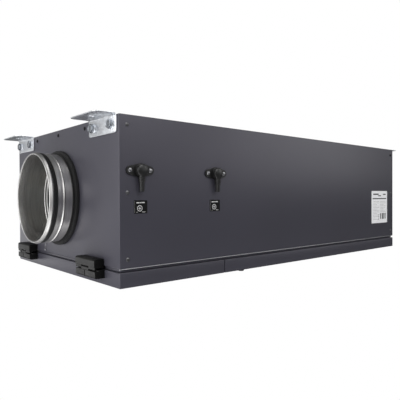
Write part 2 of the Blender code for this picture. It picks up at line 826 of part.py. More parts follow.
def build_filter(unit):
    """The pleated filter cassette and the two upright rails it slides in."""
    half, low, high = filter_limits()
    place = (FILTER_BACK + WALL + FILTER_DEPTH / 2 - HALF_LENGTH, 0.0, 0.0)
    depth = FILTER_DEPTH / 2
    frame = FILTER_FRAME
    cassette = add_object(
        "filter_cassette",
        lambda shape: block(shape, (-depth, -half, low), (depth, half, high)),
        "filter_media",
        unit,
        place,
    )
    window = add_object(
        "filter_window",
        lambda shape: block(
            shape, (-2 * depth, -half + frame, low + frame), (2 * depth, half - frame, high - frame)
        ),
        "filter_media",
        unit,
        place,
    )
    media = add_object(
        "filter_pleats",
        lambda shape: prism(shape, pleat_outline(), "Z", low + frame / 2, high - frame / 2),
        "filter_media",
        unit,
        place,
    )
    boolean(cassette, window, "DIFFERENCE")
    boolean(cassette, media, "UNION")
    wall_face = HALF_WIDTH - WALL - SEAT
    sheet = FILTER_RAIL_SHEET
    outer = depth + SLIDE + sheet
    lip = wall_face - FILTER_RAIL_DEPTH
    outline = [
        (-outer, wall_face),
        (-outer, lip),
        (-outer + sheet, lip),
        (-outer + sheet, wall_face - sheet),
        (outer - sheet, wall_face - sheet),
        (outer - sheet, lip),
        (outer, lip),
        (outer, wall_face),
    ]
    for side, turn in (("far", 0.0), ("near", math.pi)):
        add_object(
            "filter_rail_" + side,
            lambda shape: prism(shape, outline, "Z", low, high),
            "galvanised_steel",
            unit,
            place,
            turn,
        )


def nozzle_profile():
    """Section of the inlet nozzle: a flange behind the bulkhead and a bell drawn in to the throat."""
    outer = []
    inner = []
    for step in range(NOZZLE_STEPS + 1):
        angle = math.radians(90.0 * step / NOZZLE_STEPS)
        along = NOZZLE_DEPTH * (1.0 - math.cos(angle))
        radius = NOZZLE_MOUTH - (NOZZLE_MOUTH - NOZZLE_THROAT) * math.sin(angle)
        inner.append((along, radius))
        outer.append((max(along, NOZZLE_SHEET), radius + NOZZLE_SHEET))
    flange = NOZZLE_MOUTH + NOZZLE_FLANGE
    return [(0.0, flange), (NOZZLE_SHEET, flange)] + outer + list(reversed(inner))


def impeller_shroud_profile():
    """Section of the conical front shroud with its rolled eye."""
    sheet = IMPELLER_SHEET
    front = IMPELLER_WIDTH - IMPELLER_OUTLET
    return [
        (0.0, IMPELLER_EYE),
        (0.0, IMPELLER_EYE + sheet),
        (front * 0.45, IMPELLER_EYE + sheet * 1.6),
        (front, IMPELLER_RADIUS),
        (front + sheet, IMPELLER_RADIUS),
        (front * 0.45 + sheet, IMPELLER_EYE + sheet * 0.4),
        (sheet, IMPELLER_EYE),
    ]


def impeller_back_profile():
    """Section of the back plate with its hub cup, open at the middle for the motor."""
    sheet = IMPELLER_SHEET
    back = IMPELLER_WIDTH
    return [
        (back - sheet, HUB_RADIUS),
        (back - sheet, IMPELLER_RADIUS),
        (back, IMPELLER_RADIUS),
        (back, HUB_RADIUS),
    ]


def blade_outline(turn):
    """Plan outline (y, z) of one backward curved blade, from the eye to the rim."""
    start = HUB_RADIUS + BLADE_START_GAP
    end = IMPELLER_RADIUS - BLADE_END_GAP
    sweep = math.radians(BLADE_SWEEP)
    centre = []
    for step in range(BLADE_STEPS + 1):
        share = step / BLADE_STEPS
        radius = start + (end - start) * share
        angle = turn + sweep * share ** 1.2
        centre.append(Vector((radius * math.cos(angle), radius * math.sin(angle))))
    left = []
    right = []
    for index, point in enumerate(centre):
        before = centre[max(index - 1, 0)]
        after = centre[min(index + 1, BLADE_STEPS)]
        run = (after - before).normalized()
        aside = Vector((-run.y, run.x)) * BLADE_SHEET / 2
        left.append(tuple(point + aside))
        right.append(tuple(point - aside))
    return left + list(reversed(right))


def shroud_inner_x(radius):
    """Where the inside of the front shroud lies at a radius, level with the eye inside it."""
    front = IMPELLER_WIDTH - IMPELLER_OUTLET
    eye = IMPELLER_EYE + IMPELLER_SHEET
    share = max(radius - eye, 0.0) / (IMPELLER_RADIUS - eye)
    return front * (0.45 + 0.55 * share) + IMPELLER_SHEET / 2


def impeller_blades_shape(shape):
    """All blades, long enough to enter both the cone of the shroud and the back plate."""
    low = 0.0
    for index in range(BLADE_COUNT):
        turn = math.tau * index / BLADE_COUNT
        prism(shape, blade_outline(turn), "X", low, IMPELLER_WIDTH - IMPELLER_SHEET / 2)
    for vert in shape.verts:
        if vert.co.x == low:
            vert.co.x = shroud_inner_x(math.hypot(vert.co.y, vert.co.z))


def motor_profile():
    """Half section of the external rotor motor: a plain rotor in front and cooling grooves behind."""
    fin = FIN_DEPTH
    plain = MOTOR_PLAIN
    profile = [(0.0, 0.0), (0.0, MOTOR_RADIUS - fin), (fin / 2, MOTOR_RADIUS)]
    pitch = (MOTOR_LENGTH - plain) / MOTOR_FIN_COUNT
    for index in range(MOTOR_FIN_COUNT):
        along = plain + pitch * (index + 0.3)
        profile += [
            (along - pitch / 4, MOTOR_RADIUS),
            (along - pitch / 4, MOTOR_RADIUS - fin),
            (along + pitch / 4, MOTOR_RADIUS - fin),
            (along + pitch / 4, MOTOR_RADIUS),
        ]
    profile += [(MOTOR_LENGTH, MOTOR_RADIUS), (MOTOR_LENGTH, 0.0)]
    return profile


def motor_mount_shape(shape):
    """The plate behind the motor."""
    reach_y = STANDOFF_Y + STANDOFF_RADIUS + MOUNT_BORDER
    reach_z = STANDOFF_HEIGHT + STANDOFF_RADIUS + MOUNT_BORDER
    block(shape, (0.0, -reach_y, -reach_z), (MOUNT_SHEET, reach_y, reach_z))


def motor_mount_legs_shape(shape):
    """The four legs that carry the plate from the bulkhead, past the fan wheel."""
    start = BULKHEAD_X + BULKHEAD_SHEET + SEAT - MOUNT_X
    for side in (-STANDOFF_Y, STANDOFF_Y):
        for up in (-STANDOFF_HEIGHT, STANDOFF_HEIGHT):
            rod(shape, (start, side, up), (MOUNT_SHEET / 2, side, up), STANDOFF_RADIUS)


def build_fan(unit):
    """The fan bulkhead with its nozzle, the impeller, the motor and the mount that carries it."""
    sheet = BULKHEAD_SHEET
    half = HALF_WIDTH - WALL - SEAT
    bulkhead = add_object(
        "fan_bulkhead",
        lambda shape: block(shape, (0.0, -half, BODY_Z), (sheet, half, FITTING_TOP)),
        "galvanised_steel",
        unit,
        (BULKHEAD_X, 0.0, 0.0),
    )
    opening = add_object(
        "fan_bulkhead_opening",
        lambda shape: rod(shape, (-sheet, 0.0, 0.0), (2 * sheet, 0.0, 0.0), NOZZLE_MOUTH, DUCT_STEPS),
        "galvanised_steel",
        unit,
        (BULKHEAD_X, 0.0, DUCT_Z),
    )
    boolean(bulkhead, opening, "DIFFERENCE")
    nozzle = add_object(
        "fan_nozzle",
        lambda shape: revolve(shape, nozzle_profile()),
        "galvanised_steel",
        unit,
        (NOZZLE_X, 0.0, DUCT_Z),
    )
    smooth(nozzle)
    wheel_place = (WHEEL_X, 0.0, DUCT_Z)
    impeller = add_object(
        "fan_impeller",
        lambda shape: revolve(shape, impeller_back_profile()),
        "black_nylon",
        unit,
        wheel_place,
    )
    shroud = add_object(
        "fan_impeller_shroud",
        lambda shape: revolve(shape, impeller_shroud_profile()),
        "black_nylon",
        unit,
        wheel_place,
    )
    blades = add_object("fan_impeller_blades", impeller_blades_shape, "black_nylon", unit, wheel_place)
    boolean(impeller, blades, "UNION")
    boolean(impeller, shroud, "UNION")
    smooth(impeller)
    motor = add_object(
        "fan_motor",
        lambda shape: turn_solid(shape, motor_profile(), "X", 32),
        "motor_casting",
        unit,
        (MOTOR_X, 0.0, DUCT_Z),
    )
    smooth(motor)
    mount_place = (MOUNT_X, 0.0, DUCT_Z)
    mount = add_object("fan_motor_mount", motor_mount_shape, "galvanised_steel", unit, mount_place)
    legs = add_object("fan_motor_mount_legs", motor_mount_legs_shape, "galvanised_steel", unit, mount_place)
    boolean(mount, legs, "UNION")


def build_heater(unit):
    """The electric heater: a frame with rows of straight rods across the air path."""
    half = HALF_WIDTH - WALL - SEAT
    low = BODY_Z + FILTER_LIFT
    high = FITTING_TOP
    depth = HEATER_DEPTH
    place = (HEATER_X, 0.0, 0.0)
    frame = add_object(
        "heater",
        lambda shape: block(shape, (0.0, -half, low), (depth, half, high)),
        "galvanised_steel",
        unit,
        place,
    )
    rim = HEATER_FLANGE
    window = add_object(
        "heater_window",
        lambda shape: block(shape, (-depth, -half + rim, low + rim), (2 * depth, half - rim, high - rim)),
        "galvanised_steel",
        unit,
        place,
    )

    def rods_shape(shape):
        for row in range(ROD_ROWS):
            for column in range(ROD_COLUMNS):
                along = depth * (row + 0.5) / ROD_ROWS
                up = low + rim + (high - low - 2 * rim) * (column + 0.5) / ROD_COLUMNS
                rod(shape, (along, -half + rim / 2, up), (along, half - rim / 2, up), ROD_RADIUS, 10)

    rods = add_object("heater_rods", rods_shape, "galvanised_steel", unit, place)
    boolean(frame, window, "DIFFERENCE")
    boolean(frame, rods, "UNION")


def build_control_box(unit):
    """The control box on the service side wall behind the heater, with a lipped cover."""
    low_z = (BODY_Z + INNER_TOP - CONTROL_HEIGHT) / 2
    start = HEATER_X + HEATER_DEPTH + CONTROL_FRONT_GAP
    length = HALF_LENGTH - WALL - CONTROL_REAR_GAP - start
    place = (start, SEAT + WALL - HALF_WIDTH, low_z)
    lip = CONTROL_LIP
    box = add_object(
        "control_box",
        lambda shape: block(
            shape, (0.0, 0.0, 0.0), (length, CONTROL_DEPTH - CONTROL_COVER / 2, CONTROL_HEIGHT)
        ),
        "galvanised_steel",
        unit,
        place,
    )
    cover = add_object(
        "control_box_cover",
        lambda shape: block(
            shape,
            (-lip, CONTROL_DEPTH - CONTROL_COVER, -lip),
            (length + lip, CONTROL_DEPTH, CONTROL_HEIGHT + lip),
        ),
        "galvanised_steel",
        unit,
        place,
    )
    boolean(box, cover, "UNION")


def main():
    clear_scene()
    unit = add_empty("unit", None, (0.0, ELBOW_PROUD / 2, LATCH_HEIGHT))
    filter_door = add_empty("filter_door", unit, (-AXIS_X, 0.0, AXIS_Z))
    service_door = add_empty("service_door", unit, (AXIS_X, 0.0, AXIS_Z))
    build_casing(unit)
    build_gasket(unit)
    build_duct_connections(unit)
    build_brackets(unit)
    build_hinges(unit, filter_door, service_door)
    build_lids(filter_door, service_door)
    build_latches(filter_door, service_door)
    build_cable_elbows(unit)
    build_filter(unit)
    build_fan(unit)
    build_heater(unit)
    build_control_box(unit)


main()
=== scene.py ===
"""Looks of a compact duct mounted air handling unit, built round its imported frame.

Each sub-assembly is a class that holds its own sizes, models its pieces with Blender's operators and dresses
them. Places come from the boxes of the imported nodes, so every piece sits where its solid is. X runs along the
air path, -Y is the service side and +Z is up.
"""

from __future__ import annotations

import json
import logging
import math
from dataclasses import dataclass
from enum import Enum
from typing import Callable, Sequence

import bmesh
import bpy
from mathutils import Matrix, Vector


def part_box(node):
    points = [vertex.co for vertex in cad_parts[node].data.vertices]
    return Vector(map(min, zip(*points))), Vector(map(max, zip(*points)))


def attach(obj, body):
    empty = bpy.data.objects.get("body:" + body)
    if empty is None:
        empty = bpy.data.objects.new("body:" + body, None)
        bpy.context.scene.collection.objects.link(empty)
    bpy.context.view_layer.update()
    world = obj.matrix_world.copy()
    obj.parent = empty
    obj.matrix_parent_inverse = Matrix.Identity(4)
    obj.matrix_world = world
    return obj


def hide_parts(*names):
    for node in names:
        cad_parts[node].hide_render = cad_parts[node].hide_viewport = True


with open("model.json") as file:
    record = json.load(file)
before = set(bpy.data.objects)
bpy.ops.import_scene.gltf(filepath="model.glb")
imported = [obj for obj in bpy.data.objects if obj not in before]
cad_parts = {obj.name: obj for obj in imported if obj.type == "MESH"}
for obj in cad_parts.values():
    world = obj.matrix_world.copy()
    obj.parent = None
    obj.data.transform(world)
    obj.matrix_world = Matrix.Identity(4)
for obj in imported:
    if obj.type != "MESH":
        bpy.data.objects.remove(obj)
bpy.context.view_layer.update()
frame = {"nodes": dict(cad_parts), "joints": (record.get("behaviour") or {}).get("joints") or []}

LOG = logging.getLogger("air_handling_unit")
Item = bpy.types.Object
Socket = bpy.types.NodeSocket
Node = bpy.types.Node
Tree = bpy.types.NodeTree
Point = tuple[float, float, float]
Place = Sequence[float]
Profile = Sequence[tuple[float, float]]
Test = Callable[[Vector, Vector], bool]
Coat = tuple[Socket, Socket | None, Socket]

AXIS_X, AXIS_Y, AXIS_Z = Vector((1.0, 0.0, 0.0)), Vector((0.0, 1.0, 0.0)), Vector((0.0, 0.0, 1.0))
WHITE = (1.0, 1.0, 1.0, 1.0)
# How high the underside of the lids lies above the plane that the latch heads touch.
LATCH_PLANE = 0.004


class Body(Enum):
    """The moving bodies that pieces ride on."""

    CASING = "casing"
    FILTER_DOOR = "filter_door"
    SERVICE_DOOR = "service_door"


class End(Enum):
    """The two ends of the casing, with the direction that leads from that end into the unit."""

    FRONT = 1.0
    REAR = -1.0


def reach_of(*nodes: str) -> tuple[Vector, Vector]:
    """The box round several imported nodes.

    Args:
        nodes: Names of the nodes.

    Returns:
        The lowest and the highest corner.
    """
    boxes = [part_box(node) for node in nodes]
    low = Vector([min(box[0][axis] for box in boxes) for axis in range(3)])
    high = Vector([max(box[1][axis] for box in boxes) for axis in range(3)])
    return low, high


def middle_of(node: str) -> Vector:
    """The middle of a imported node's box."""
    low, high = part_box(node)
    return (low + high) / 2


class Bench:
    """Blender's modelling operators, wrapped so that each call leaves one piece at the origin."""

    @staticmethod
    def only(*items: Item) -> None:
        """Select these objects alone, the last one active.

        Args:
            items: The objects.
        """
        bpy.ops.object.select_all(action="DESELECT")
        for item in items:
            item.select_set(True)
        bpy.context.view_layer.objects.active = items[-1]

    @staticmethod
    def edit(item: Item, everything: bool = True) -> None:
        """Open an object in edit mode.

        Args:
            item: The object.
            everything: Whether all of its mesh starts out selected.
        """
        Bench.only(item)
        bpy.ops.object.mode_set(mode="EDIT")
        bpy.ops.mesh.select_mode(type="VERT")
        bpy.ops.mesh.select_all(action="SELECT" if everything else "DESELECT")

    @staticmethod
    def leave() -> None:
        """Go back to object mode."""
        bpy.ops.object.mode_set(mode="OBJECT")

    @staticmethod
    def settle(item: Item) -> None:
        """Apply an object's place and turn, so that it sits at the origin."""
        Bench.only(item)
        bpy.ops.object.transform_apply(location=True, rotation=True, scale=True)

    @staticmethod
    def box(name: str, low: Place, high: Place) -> Item:
        """A block between two corners.

        Args:
            name: The name of the new object.
            low: The lowest corner.
            high: The highest corner.

        Returns:
            The new object.
        """
        middle = (Vector(low) + Vector(high)) / 2
        bpy.ops.mesh.primitive_cube_add(size=1.0, location=middle, scale=Vector(high) - Vector(low))
        item = bpy.context.object
        item.name = name
        Bench.settle(item)
        return item

    @staticmethod
    def cylinder(name: str, start: Place, end: Place, radius: float, steps: int = 32) -> Item:
        """A round bar between two points.

        Args:
            name: The name of the new object.
            start: The middle of one end.
            end: The middle of the other end.
            radius: The radius of the bar.
            steps: The number of sides.

        Returns:
            The new object.
        """
        run = Vector(end) - Vector(start)
        bpy.ops.mesh.primitive_cylinder_add(
            vertices=steps,
            radius=radius,
            depth=run.length,
            location=(Vector(start) + Vector(end)) / 2,
            rotation=run.to_track_quat("Z", "Y").to_euler(),
        )
        item = bpy.context.object
        item.name = name
        Bench.settle(item)
        return item

    @staticmethod
    def chain(name: str, points: Sequence[Place]) -> Item:
        """A line of points, drawn by extruding one vertex, and left in edit mode.

        Args:
            name: The name of the new object.
            points: The points of the line.

        Returns:
            The new object.
        """
        bpy.ops.mesh.primitive_plane_add(size=0.001, location=(0.0, 0.0, 0.0))
        item = bpy.context.object
        item.name = name
        bpy.ops.object.mode_set(mode="EDIT")
        bpy.ops.mesh.select_mode(type="VERT")
        bpy.ops.mesh.select_all(action="SELECT")
        bpy.ops.mesh.merge(type="CENTER")
        bpy.ops.transform.translate(value=Vector(points[0]))
        for before, after in zip(points[:-1], points[1:]):
            move = Vector(after) - Vector(before)
            bpy.ops.mesh.extrude_vertices_move(TRANSFORM_OT_translate={"value": move})
        bpy.ops.mesh.select_all(action="SELECT")
        return item

    @staticmethod
    def prism(name: str, outline: Sequence[Place], run: Place) -> Item:
        """A solid swept straight from a flat outline.

        Args:
            name: The name of the new object.
            outline: The corners of the outline, in order.
            run: How far and in which direction the outline is swept.

        Returns:
            The new object.
        """
        item = Bench.chain(name, outline)
        bpy.ops.mesh.edge_face_add()
        bpy.ops.mesh.extrude_region_move(TRANSFORM_OT_translate={"value": Vector(run)})
        bpy.ops.mesh.select_all(action="SELECT")
        bpy.ops.mesh.normals_make_consistent(inside=False)
        Bench.leave()
        return item

    @staticmethod
    def turned(
        name: str, profile: Profile, foot: Place, along: Place, out: Place, steps: int, closed: bool = False
    ) -> Item:
        """A solid turned from a profile of (distance along the axis, radius) points.

        Args:
            name: The name of the new object.
            profile: The points, in order. An open profile starts and ends on the axis.
            foot: The point of the axis from which the distances run.
            along: The direction of the axis.
            out: The direction in which the radii are laid out.
            steps: The number of steps in a full turn.
            closed: Whether the profile is a ring.

        Returns:
            The new object.
        """
        foot, along, out = Vector(foot), Vector(along), Vector(out)
        item = Bench.chain(name, [foot + along * reach + out * radius for reach, radius in profile])
        if closed:
            bpy.ops.mesh.edge_face_add()
            bpy.ops.mesh.delete(type="ONLY_FACE")
            bpy.ops.mesh.select_all(action="SELECT")
        bpy.ops.mesh.spin(steps=steps, angle=math.tau, center=foot, axis=along)
        bpy.ops.mesh.select_all(action="SELECT")
        bpy.ops.mesh.remove_doubles(threshold=0.00001)
        bpy.ops.mesh.normals_make_consistent(inside=False)
        Bench.leave()
        return item

    @staticmethod
    def open_box(name: str, low: Vector, high: Vector, rim: float) -> Item:
        """A box that is open along X, with a rim round the opening.

        Args:
            name: The name of the new object.
            low: Its lowest corner.
            high: Its highest corner.
            rim: The width of the rim.

        Returns:
            The new object.
        """
        item = Bench.box(name, low, high)
        past = Vector((-rim, rim, rim))
        Bench.carve(item, Bench.box("window", low + past, high - past))
        return item

    @staticmethod
    def pick_faces(item: Item, test: Test) -> None:
        """Select faces of the object in edit mode by their middle and normal.

        Args:
            item: The object.
            test: Says of a middle and a normal whether the face is wanted.
        """
        bpy.ops.mesh.select_mode(type="FACE")
        shape = bmesh.from_edit_mesh(item.data)
        for face in shape.faces:
            face.select_set(test(face.calc_center_median(), face.normal))
        shape.select_flush(True)
        bmesh.update_edit_mesh(item.data)

    @staticmethod
    def pick_edges(item: Item, test: Test) -> None:
        """Select edges of the object in edit mode by their middle and direction.

        Args:
            item: The object.
            test: Says of a middle and a direction whether the edge is wanted.
        """
        bpy.ops.mesh.select_mode(type="EDGE")
        shape = bmesh.from_edit_mesh(item.data)
        for edge in shape.edges:
            first, second = (corner.co for corner in edge.verts)
            edge.select_set(test((first + second) / 2, (second - first).normalized()))
        bmesh.update_edit_mesh(item.data)

    @staticmethod
    def carve(item: Item, tool: Item, operation: str = "DIFFERENCE") -> None:
        """Cut an object by a tool, or join the tool to it, and throw the tool away.

        Args:
            item: The object that stays.
            tool: The object that is used up.
            operation: The kind of Boolean.
        """
        Bench.only(item)
        modifier = item.modifiers.new("cut", "BOOLEAN")
        modifier.operation = operation
        modifier.solver = "EXACT"
        modifier.object = tool
        bpy.ops.object.modifier_apply(modifier=modifier.name)
        bpy.data.objects.remove(tool, do_unlink=True)

    @staticmethod
    def soften(item: Item, width: float, steps: int = 2, angle: float = 35.0) -> None:
        """Round all sharp edges of an object.

        Args:
            item: The object.
            width: The width of the rounding.
            steps: The number of faces across it.
            angle: The least angle of an edge that is rounded, in degrees.
        """
        Bench.only(item)
        modifier = item.modifiers.new("edge", "BEVEL")
        modifier.width = width
        modifier.segments = steps
        modifier.limit_method = "ANGLE"
        modifier.angle_limit = math.radians(angle)
        bpy.ops.object.modifier_apply(modifier=modifier.name)

    @staticmethod
    def join(name: str, items: Sequence[Item]) -> Item:
        """Put several objects together as one.

        Args:
            name: The name of the result.
            items: The objects.

        Returns:
            The one object.
        """
        Bench.only(*items)
        if len(items) > 1:
            bpy.ops.object.join()
        item = bpy.context.object
        item.name = name
        return item

    @staticmethod
    def copy(item: Item, name: str, move: Place = (0.0, 0.0, 0.0), mirror: str = "") -> Item:
        """Copy an object with a mesh of its own.

        Args:
            item: The object.
            name: The name of the copy.
            move: How far the copy is moved.
            mirror: The axes across which the copy is mirrored about the origin before it is moved.

        Returns:
            The copy.
        """
        Bench.only(item)
        bpy.ops.object.duplicate(linked=False)
        twin = bpy.context.object
        twin.name = name
        twin.scale = [-1.0 if axis in mirror else 1.0 for axis in "XYZ"]
        twin.location = Vector(move)
        Bench.settle(twin)
        if len(mirror) % 2:
            Bench.edit(twin)
            bpy.ops.mesh.normals_make_consistent(inside=False)
            Bench.leave()
        return twin

    @staticmethod
    def spread(item: Item, name: str, moves: Sequence[Place]) -> Item:
        """Copy a small piece to several places, and put the copies together as one object.

        Args:
            item: The piece, which is used up.
            name: The name of the result.
            moves: How far each copy is moved.

        Returns:
            The one object.
        """
        copies = [Bench.copy(item, name, move) for move in moves]
        bpy.data.objects.remove(item, do_unlink=True)
        return Bench.join(name, copies)


def arc(centre: Place, radius: float, start: float, end: float, steps: int) -> list[tuple[float, float]]:
    """Points along an arc in a plane."""
    angles = [math.radians(start + (end - start) * step / steps) for step in range(steps + 1)]
    return [(centre[0] + radius * math.cos(turn), centre[1] + radius * math.sin(turn)) for turn in angles]


def rounded(low: Place, high: Place, radius: float, steps: int = 4) -> list[tuple[float, float]]:
    """The outline of a rectangle with round corners.

    Args:
        low: Its lowest corner.
        high: Its highest corner.
        radius: The radius of the corners.
        steps: The number of steps in each corner.

    Returns:
        The points of the outline.
    """
    points = arc((high[0] - radius, high[1] - radius), radius, 0.0, 90.0, steps)
    points += arc((low[0] + radius, high[1] - radius), radius, 90.0, 180.0, steps)
    points += arc((low[0] + radius, low[1] + radius), radius, 180.0, 270.0, steps)
    points += arc((high[0] - radius, low[1] + radius), radius, 270.0, 360.0, steps)
    return points


class Nodes:
    """Adds nodes to a tree and joins them."""

    def __init__(self, tree: Tree) -> None:
        """Keep the tree that is built."""
        self.tree = tree

    def add(self, kind: str, inputs: dict | None = None, **settings: object) -> Node:
        """Add one node.

        Args:
            kind: The node's type, without the word that all shader nodes start with.
            inputs: A value or an output socket for each input, by name or number.
            settings: The node's own settings.

        Returns:
            The new node.
        """
        node = self.tree.nodes.new("ShaderNode" + kind)
        for name, value in settings.items():
            setattr(node, name, value)
        for name, value in (inputs or {}).items():
            if isinstance(value, Socket):
                self.link(value, node, name)
            else:
                node.inputs[name].default_value = value
        return node

    def link(self, value: Socket, node: Node, name: str) -> None:
        """Join a value to an input of a node."""
        self.tree.links.new(value, node.inputs[name])

    def place(self) -> Socket:
        """The Object coordinates of the surface."""
        return self.add("TexCoord").outputs["Object"]

    def noise(self, where: Socket, scale: object, detail: float = 2.0) -> Socket:
        """A noise value."""
        return self.add("TexNoise", {"Vector": where, "Scale": scale, "Detail": detail}).outputs["Fac"]

    def span(self, value: object, low: float, high: float, first: float = 0.0, last: float = 1.0) -> Socket:
        """Map a value from one range to another and hold it there."""
        inputs = {"Value": value, "From Min": low, "From Max": high, "To Min": first, "To Max": last}
        return self.add("MapRange", inputs, clamp=True).outputs["Result"]

    def math(self, operation: str, first: object, second: object = 0.0) -> Socket:
        """One sum."""
        return self.add("Math", {0: first, 1: second}, operation=operation).outputs[0]

    def mix(self, share: object, first: object, second: object) -> Socket:
        """A mix of two colours."""
        return self.add("Mix", {0: share, 6: first, 7: second}, data_type="RGBA").outputs[2]

    def lay(self, base: Socket, mask: Socket, share: float, colour: Place) -> Socket:
        """Lay a share of a colour over another where a mask is high."""
        return self.mix(self.math("MULTIPLY", mask, share), base, colour)

    def use(self, group: Tree, output: str, **values: float) -> Socket:
        """Place a shared effect in this tree.

        Args:
            group: The effect.
            output: Which of its outputs is wanted.
            values: A value for each of its inputs.

        Returns:
            The output.
        """
        node = self.add("Group")
        node.node_tree = group
        for name, value in values.items():
            node.inputs[name].default_value = value
        return node.outputs[output]


def new_group(
    name: str, inputs: dict[str, float], outputs: Sequence[str]
) -> tuple[Nodes, bpy.types.NodeOutputs, Node]:
    """An empty node group with number sockets.

    Args:
        name: The name of the group.
        inputs: The name and the usual value of each input.
        outputs: The names of the outputs.

    Returns:
        The builder, the sockets of the inputs and the output node.
    """
    tree = bpy.data.node_groups.new(name, "ShaderNodeTree")
    for socket, value in inputs.items():
        made = tree.interface.new_socket(name=socket, in_out="INPUT", socket_type="NodeSocketFloat")
        made.default_value = value
    for socket in outputs:
        tree.interface.new_socket(name=socket, in_out="OUTPUT", socket_type="NodeSocketFloat")
    return Nodes(tree), tree.nodes.new("NodeGroupInput").outputs, tree.nodes.new("NodeGroupOutput")


class Effects:
    """The effects that several finishes share, each one a node group."""

    def __init__(self) -> None:
        """Build the groups once."""
        self.edge_wear = self.build_edge_wear()
        self.dust = self.build_dust()
        self.grain = self.build_grain()
        self.tone = self.build_tone()
        self.turning = self.build_turning()
        self.spangle = self.build_spangle()
        self.scratches = self.build_scratches()

    @staticmethod
    def build_edge_wear() -> Tree:
        """A mask that is high along edges, broken up by noise.

        Returns:
            The group.
        """
        nodes, given, made = new_group("edge_wear", {"Width": 0.001, "Break": 60.0}, ["Mask"])
        bent = nodes.add("Bevel", {"Radius": given["Width"]}, samples=4)
        flat = nodes.add("NewGeometry")
        facing = nodes.add("VectorMath", {0: bent.outputs[0], 1: flat.outputs["Normal"]}, operation="DOT_PRODUCT")
        edge = nodes.span(facing.outputs["Value"], 0.99, 0.80)
        broken = nodes.span(nodes.noise(nodes.place(), given["Break"], 3.0), 0.35, 0.62)
        nodes.link(nodes.math("MULTIPLY", edge, broken), made, "Mask")
        return nodes.tree

    @staticmethod
    def build_dust() -> Tree:
        """A mask of fine dust that lies on what faces up.

        Returns:
            The group.
        """
        nodes, given, made = new_group("settled_dust", {"Break": 14.0}, ["Mask"])
        up = nodes.add("SeparateXYZ", {0: nodes.add("NewGeometry").outputs["Normal"]}).outputs["Z"]
        lying = nodes.span(up, 0.2, 0.95)
        patches = nodes.span(nodes.noise(nodes.place(), given["Break"], 5.0), 0.30, 0.75)
        nodes.link(nodes.math("MULTIPLY", lying, patches), made, "Mask")
        return nodes.tree

    @staticmethod
    def build_grain() -> Tree:
        """Fine grain: a value about one half and a height.

        Returns:
            The group.
        """
        nodes, given, made = new_group("fine_grain", {"Scale": 800.0}, ["Value", "Height"])
        where = nodes.place()
        fine = nodes.noise(where, given["Scale"], 2.0)
        finer = nodes.noise(where, nodes.math("MULTIPLY", given["Scale"], 3.1), 1.0)
        value = nodes.math("ADD", nodes.math("MULTIPLY", fine, 0.7), nodes.math("MULTIPLY", finer, 0.3))
        nodes.link(value, made, "Value")
        nodes.link(fine, made, "Height")
        return nodes.tree

    @staticmethod
    def build_tone() -> Tree:
        """Broad soft patches, for slow changes of tone.

        Returns:
            The group.
        """
        nodes, given, made = new_group("broad_tone", {"Scale": 3.0}, ["Value"])
        value = nodes.span(nodes.noise(nodes.place(), given["Scale"], 4.0), 0.3, 0.7)
        nodes.link(value, made, "Value")
        return nodes.tree

    @staticmethod
    def build_turning() -> Tree:
        """Fine rings round the X axis, as turned or rolled sheet has.

        Returns:
            The group.
        """
        nodes, given, made = new_group("turning_lines", {"Scale": 900.0}, ["Value", "Height"])
        along = nodes.add("SeparateXYZ", {0: nodes.place()}).outputs["X"]
        lines = []
        for part, detail in ((1.0, 3.0), (0.16, 1.0)):
            scale = nodes.math("MULTIPLY", given["Scale"], part)
            inputs = {"W": along, "Scale": scale, "Detail": detail}
            lines.append(nodes.add("TexNoise", inputs, noise_dimensions="1D").outputs["Fac"])
        value = nodes.math("ADD", nodes.math("MULTIPLY", lines[0], 0.6), nodes.math("MULTIPLY", lines[1], 0.4))
        nodes.link(value, made, "Value")
        nodes.link(value, made, "Height")
        return nodes.tree

    @staticmethod
    def build_spangle() -> Tree:
        """The leafy crystals of hot dipped zinc: a value for each crystal.

        Returns:
            The group.
        """
        nodes, given, made = new_group("zinc_spangle", {"Scale": 90.0}, ["Value"])
        where = nodes.place()
        bend = nodes.add("TexNoise", {"Vector": where, "Scale": 60.0, "Detail": 3.0}).outputs["Color"]
        shifted = nodes.add("VectorMath", {0: bend, 1: (0.006, 0.006, 0.006), 2: where}, operation="MULTIPLY_ADD")
        cells = nodes.add("TexVoronoi", {"Vector": shifted.outputs[0], "Scale": given["Scale"]})
        value = nodes.add("RGBToBW", {0: cells.outputs["Color"]}).outputs[0]
        nodes.link(value, made, "Value")
        return nodes.tree

    @staticmethod
    def build_scratches() -> Tree:
        """Sparse hair lines in two directions.

        Returns:
            The group.
        """
        nodes, given, made = new_group("hair_scratches", {"Scale": 30.0}, ["Mask"])
        where = nodes.place()
        masks = []
        for turn in (0.35, -0.9):
            lean = nodes.add("Mapping", {"Vector": where, "Rotation": (turn, turn * 0.6, turn)}, vector_type="POINT")
            long = nodes.add("Mapping", {"Vector": lean.outputs[0], "Scale": (1.0, 22.0, 22.0)})
            hair = nodes.noise(long.outputs[0], given["Scale"], 2.0)
            masks.append(nodes.span(hair, 0.70, 0.74))
        nodes.link(nodes.math("MAXIMUM", masks[0], masks[1]), made, "Mask")
        return nodes.tree


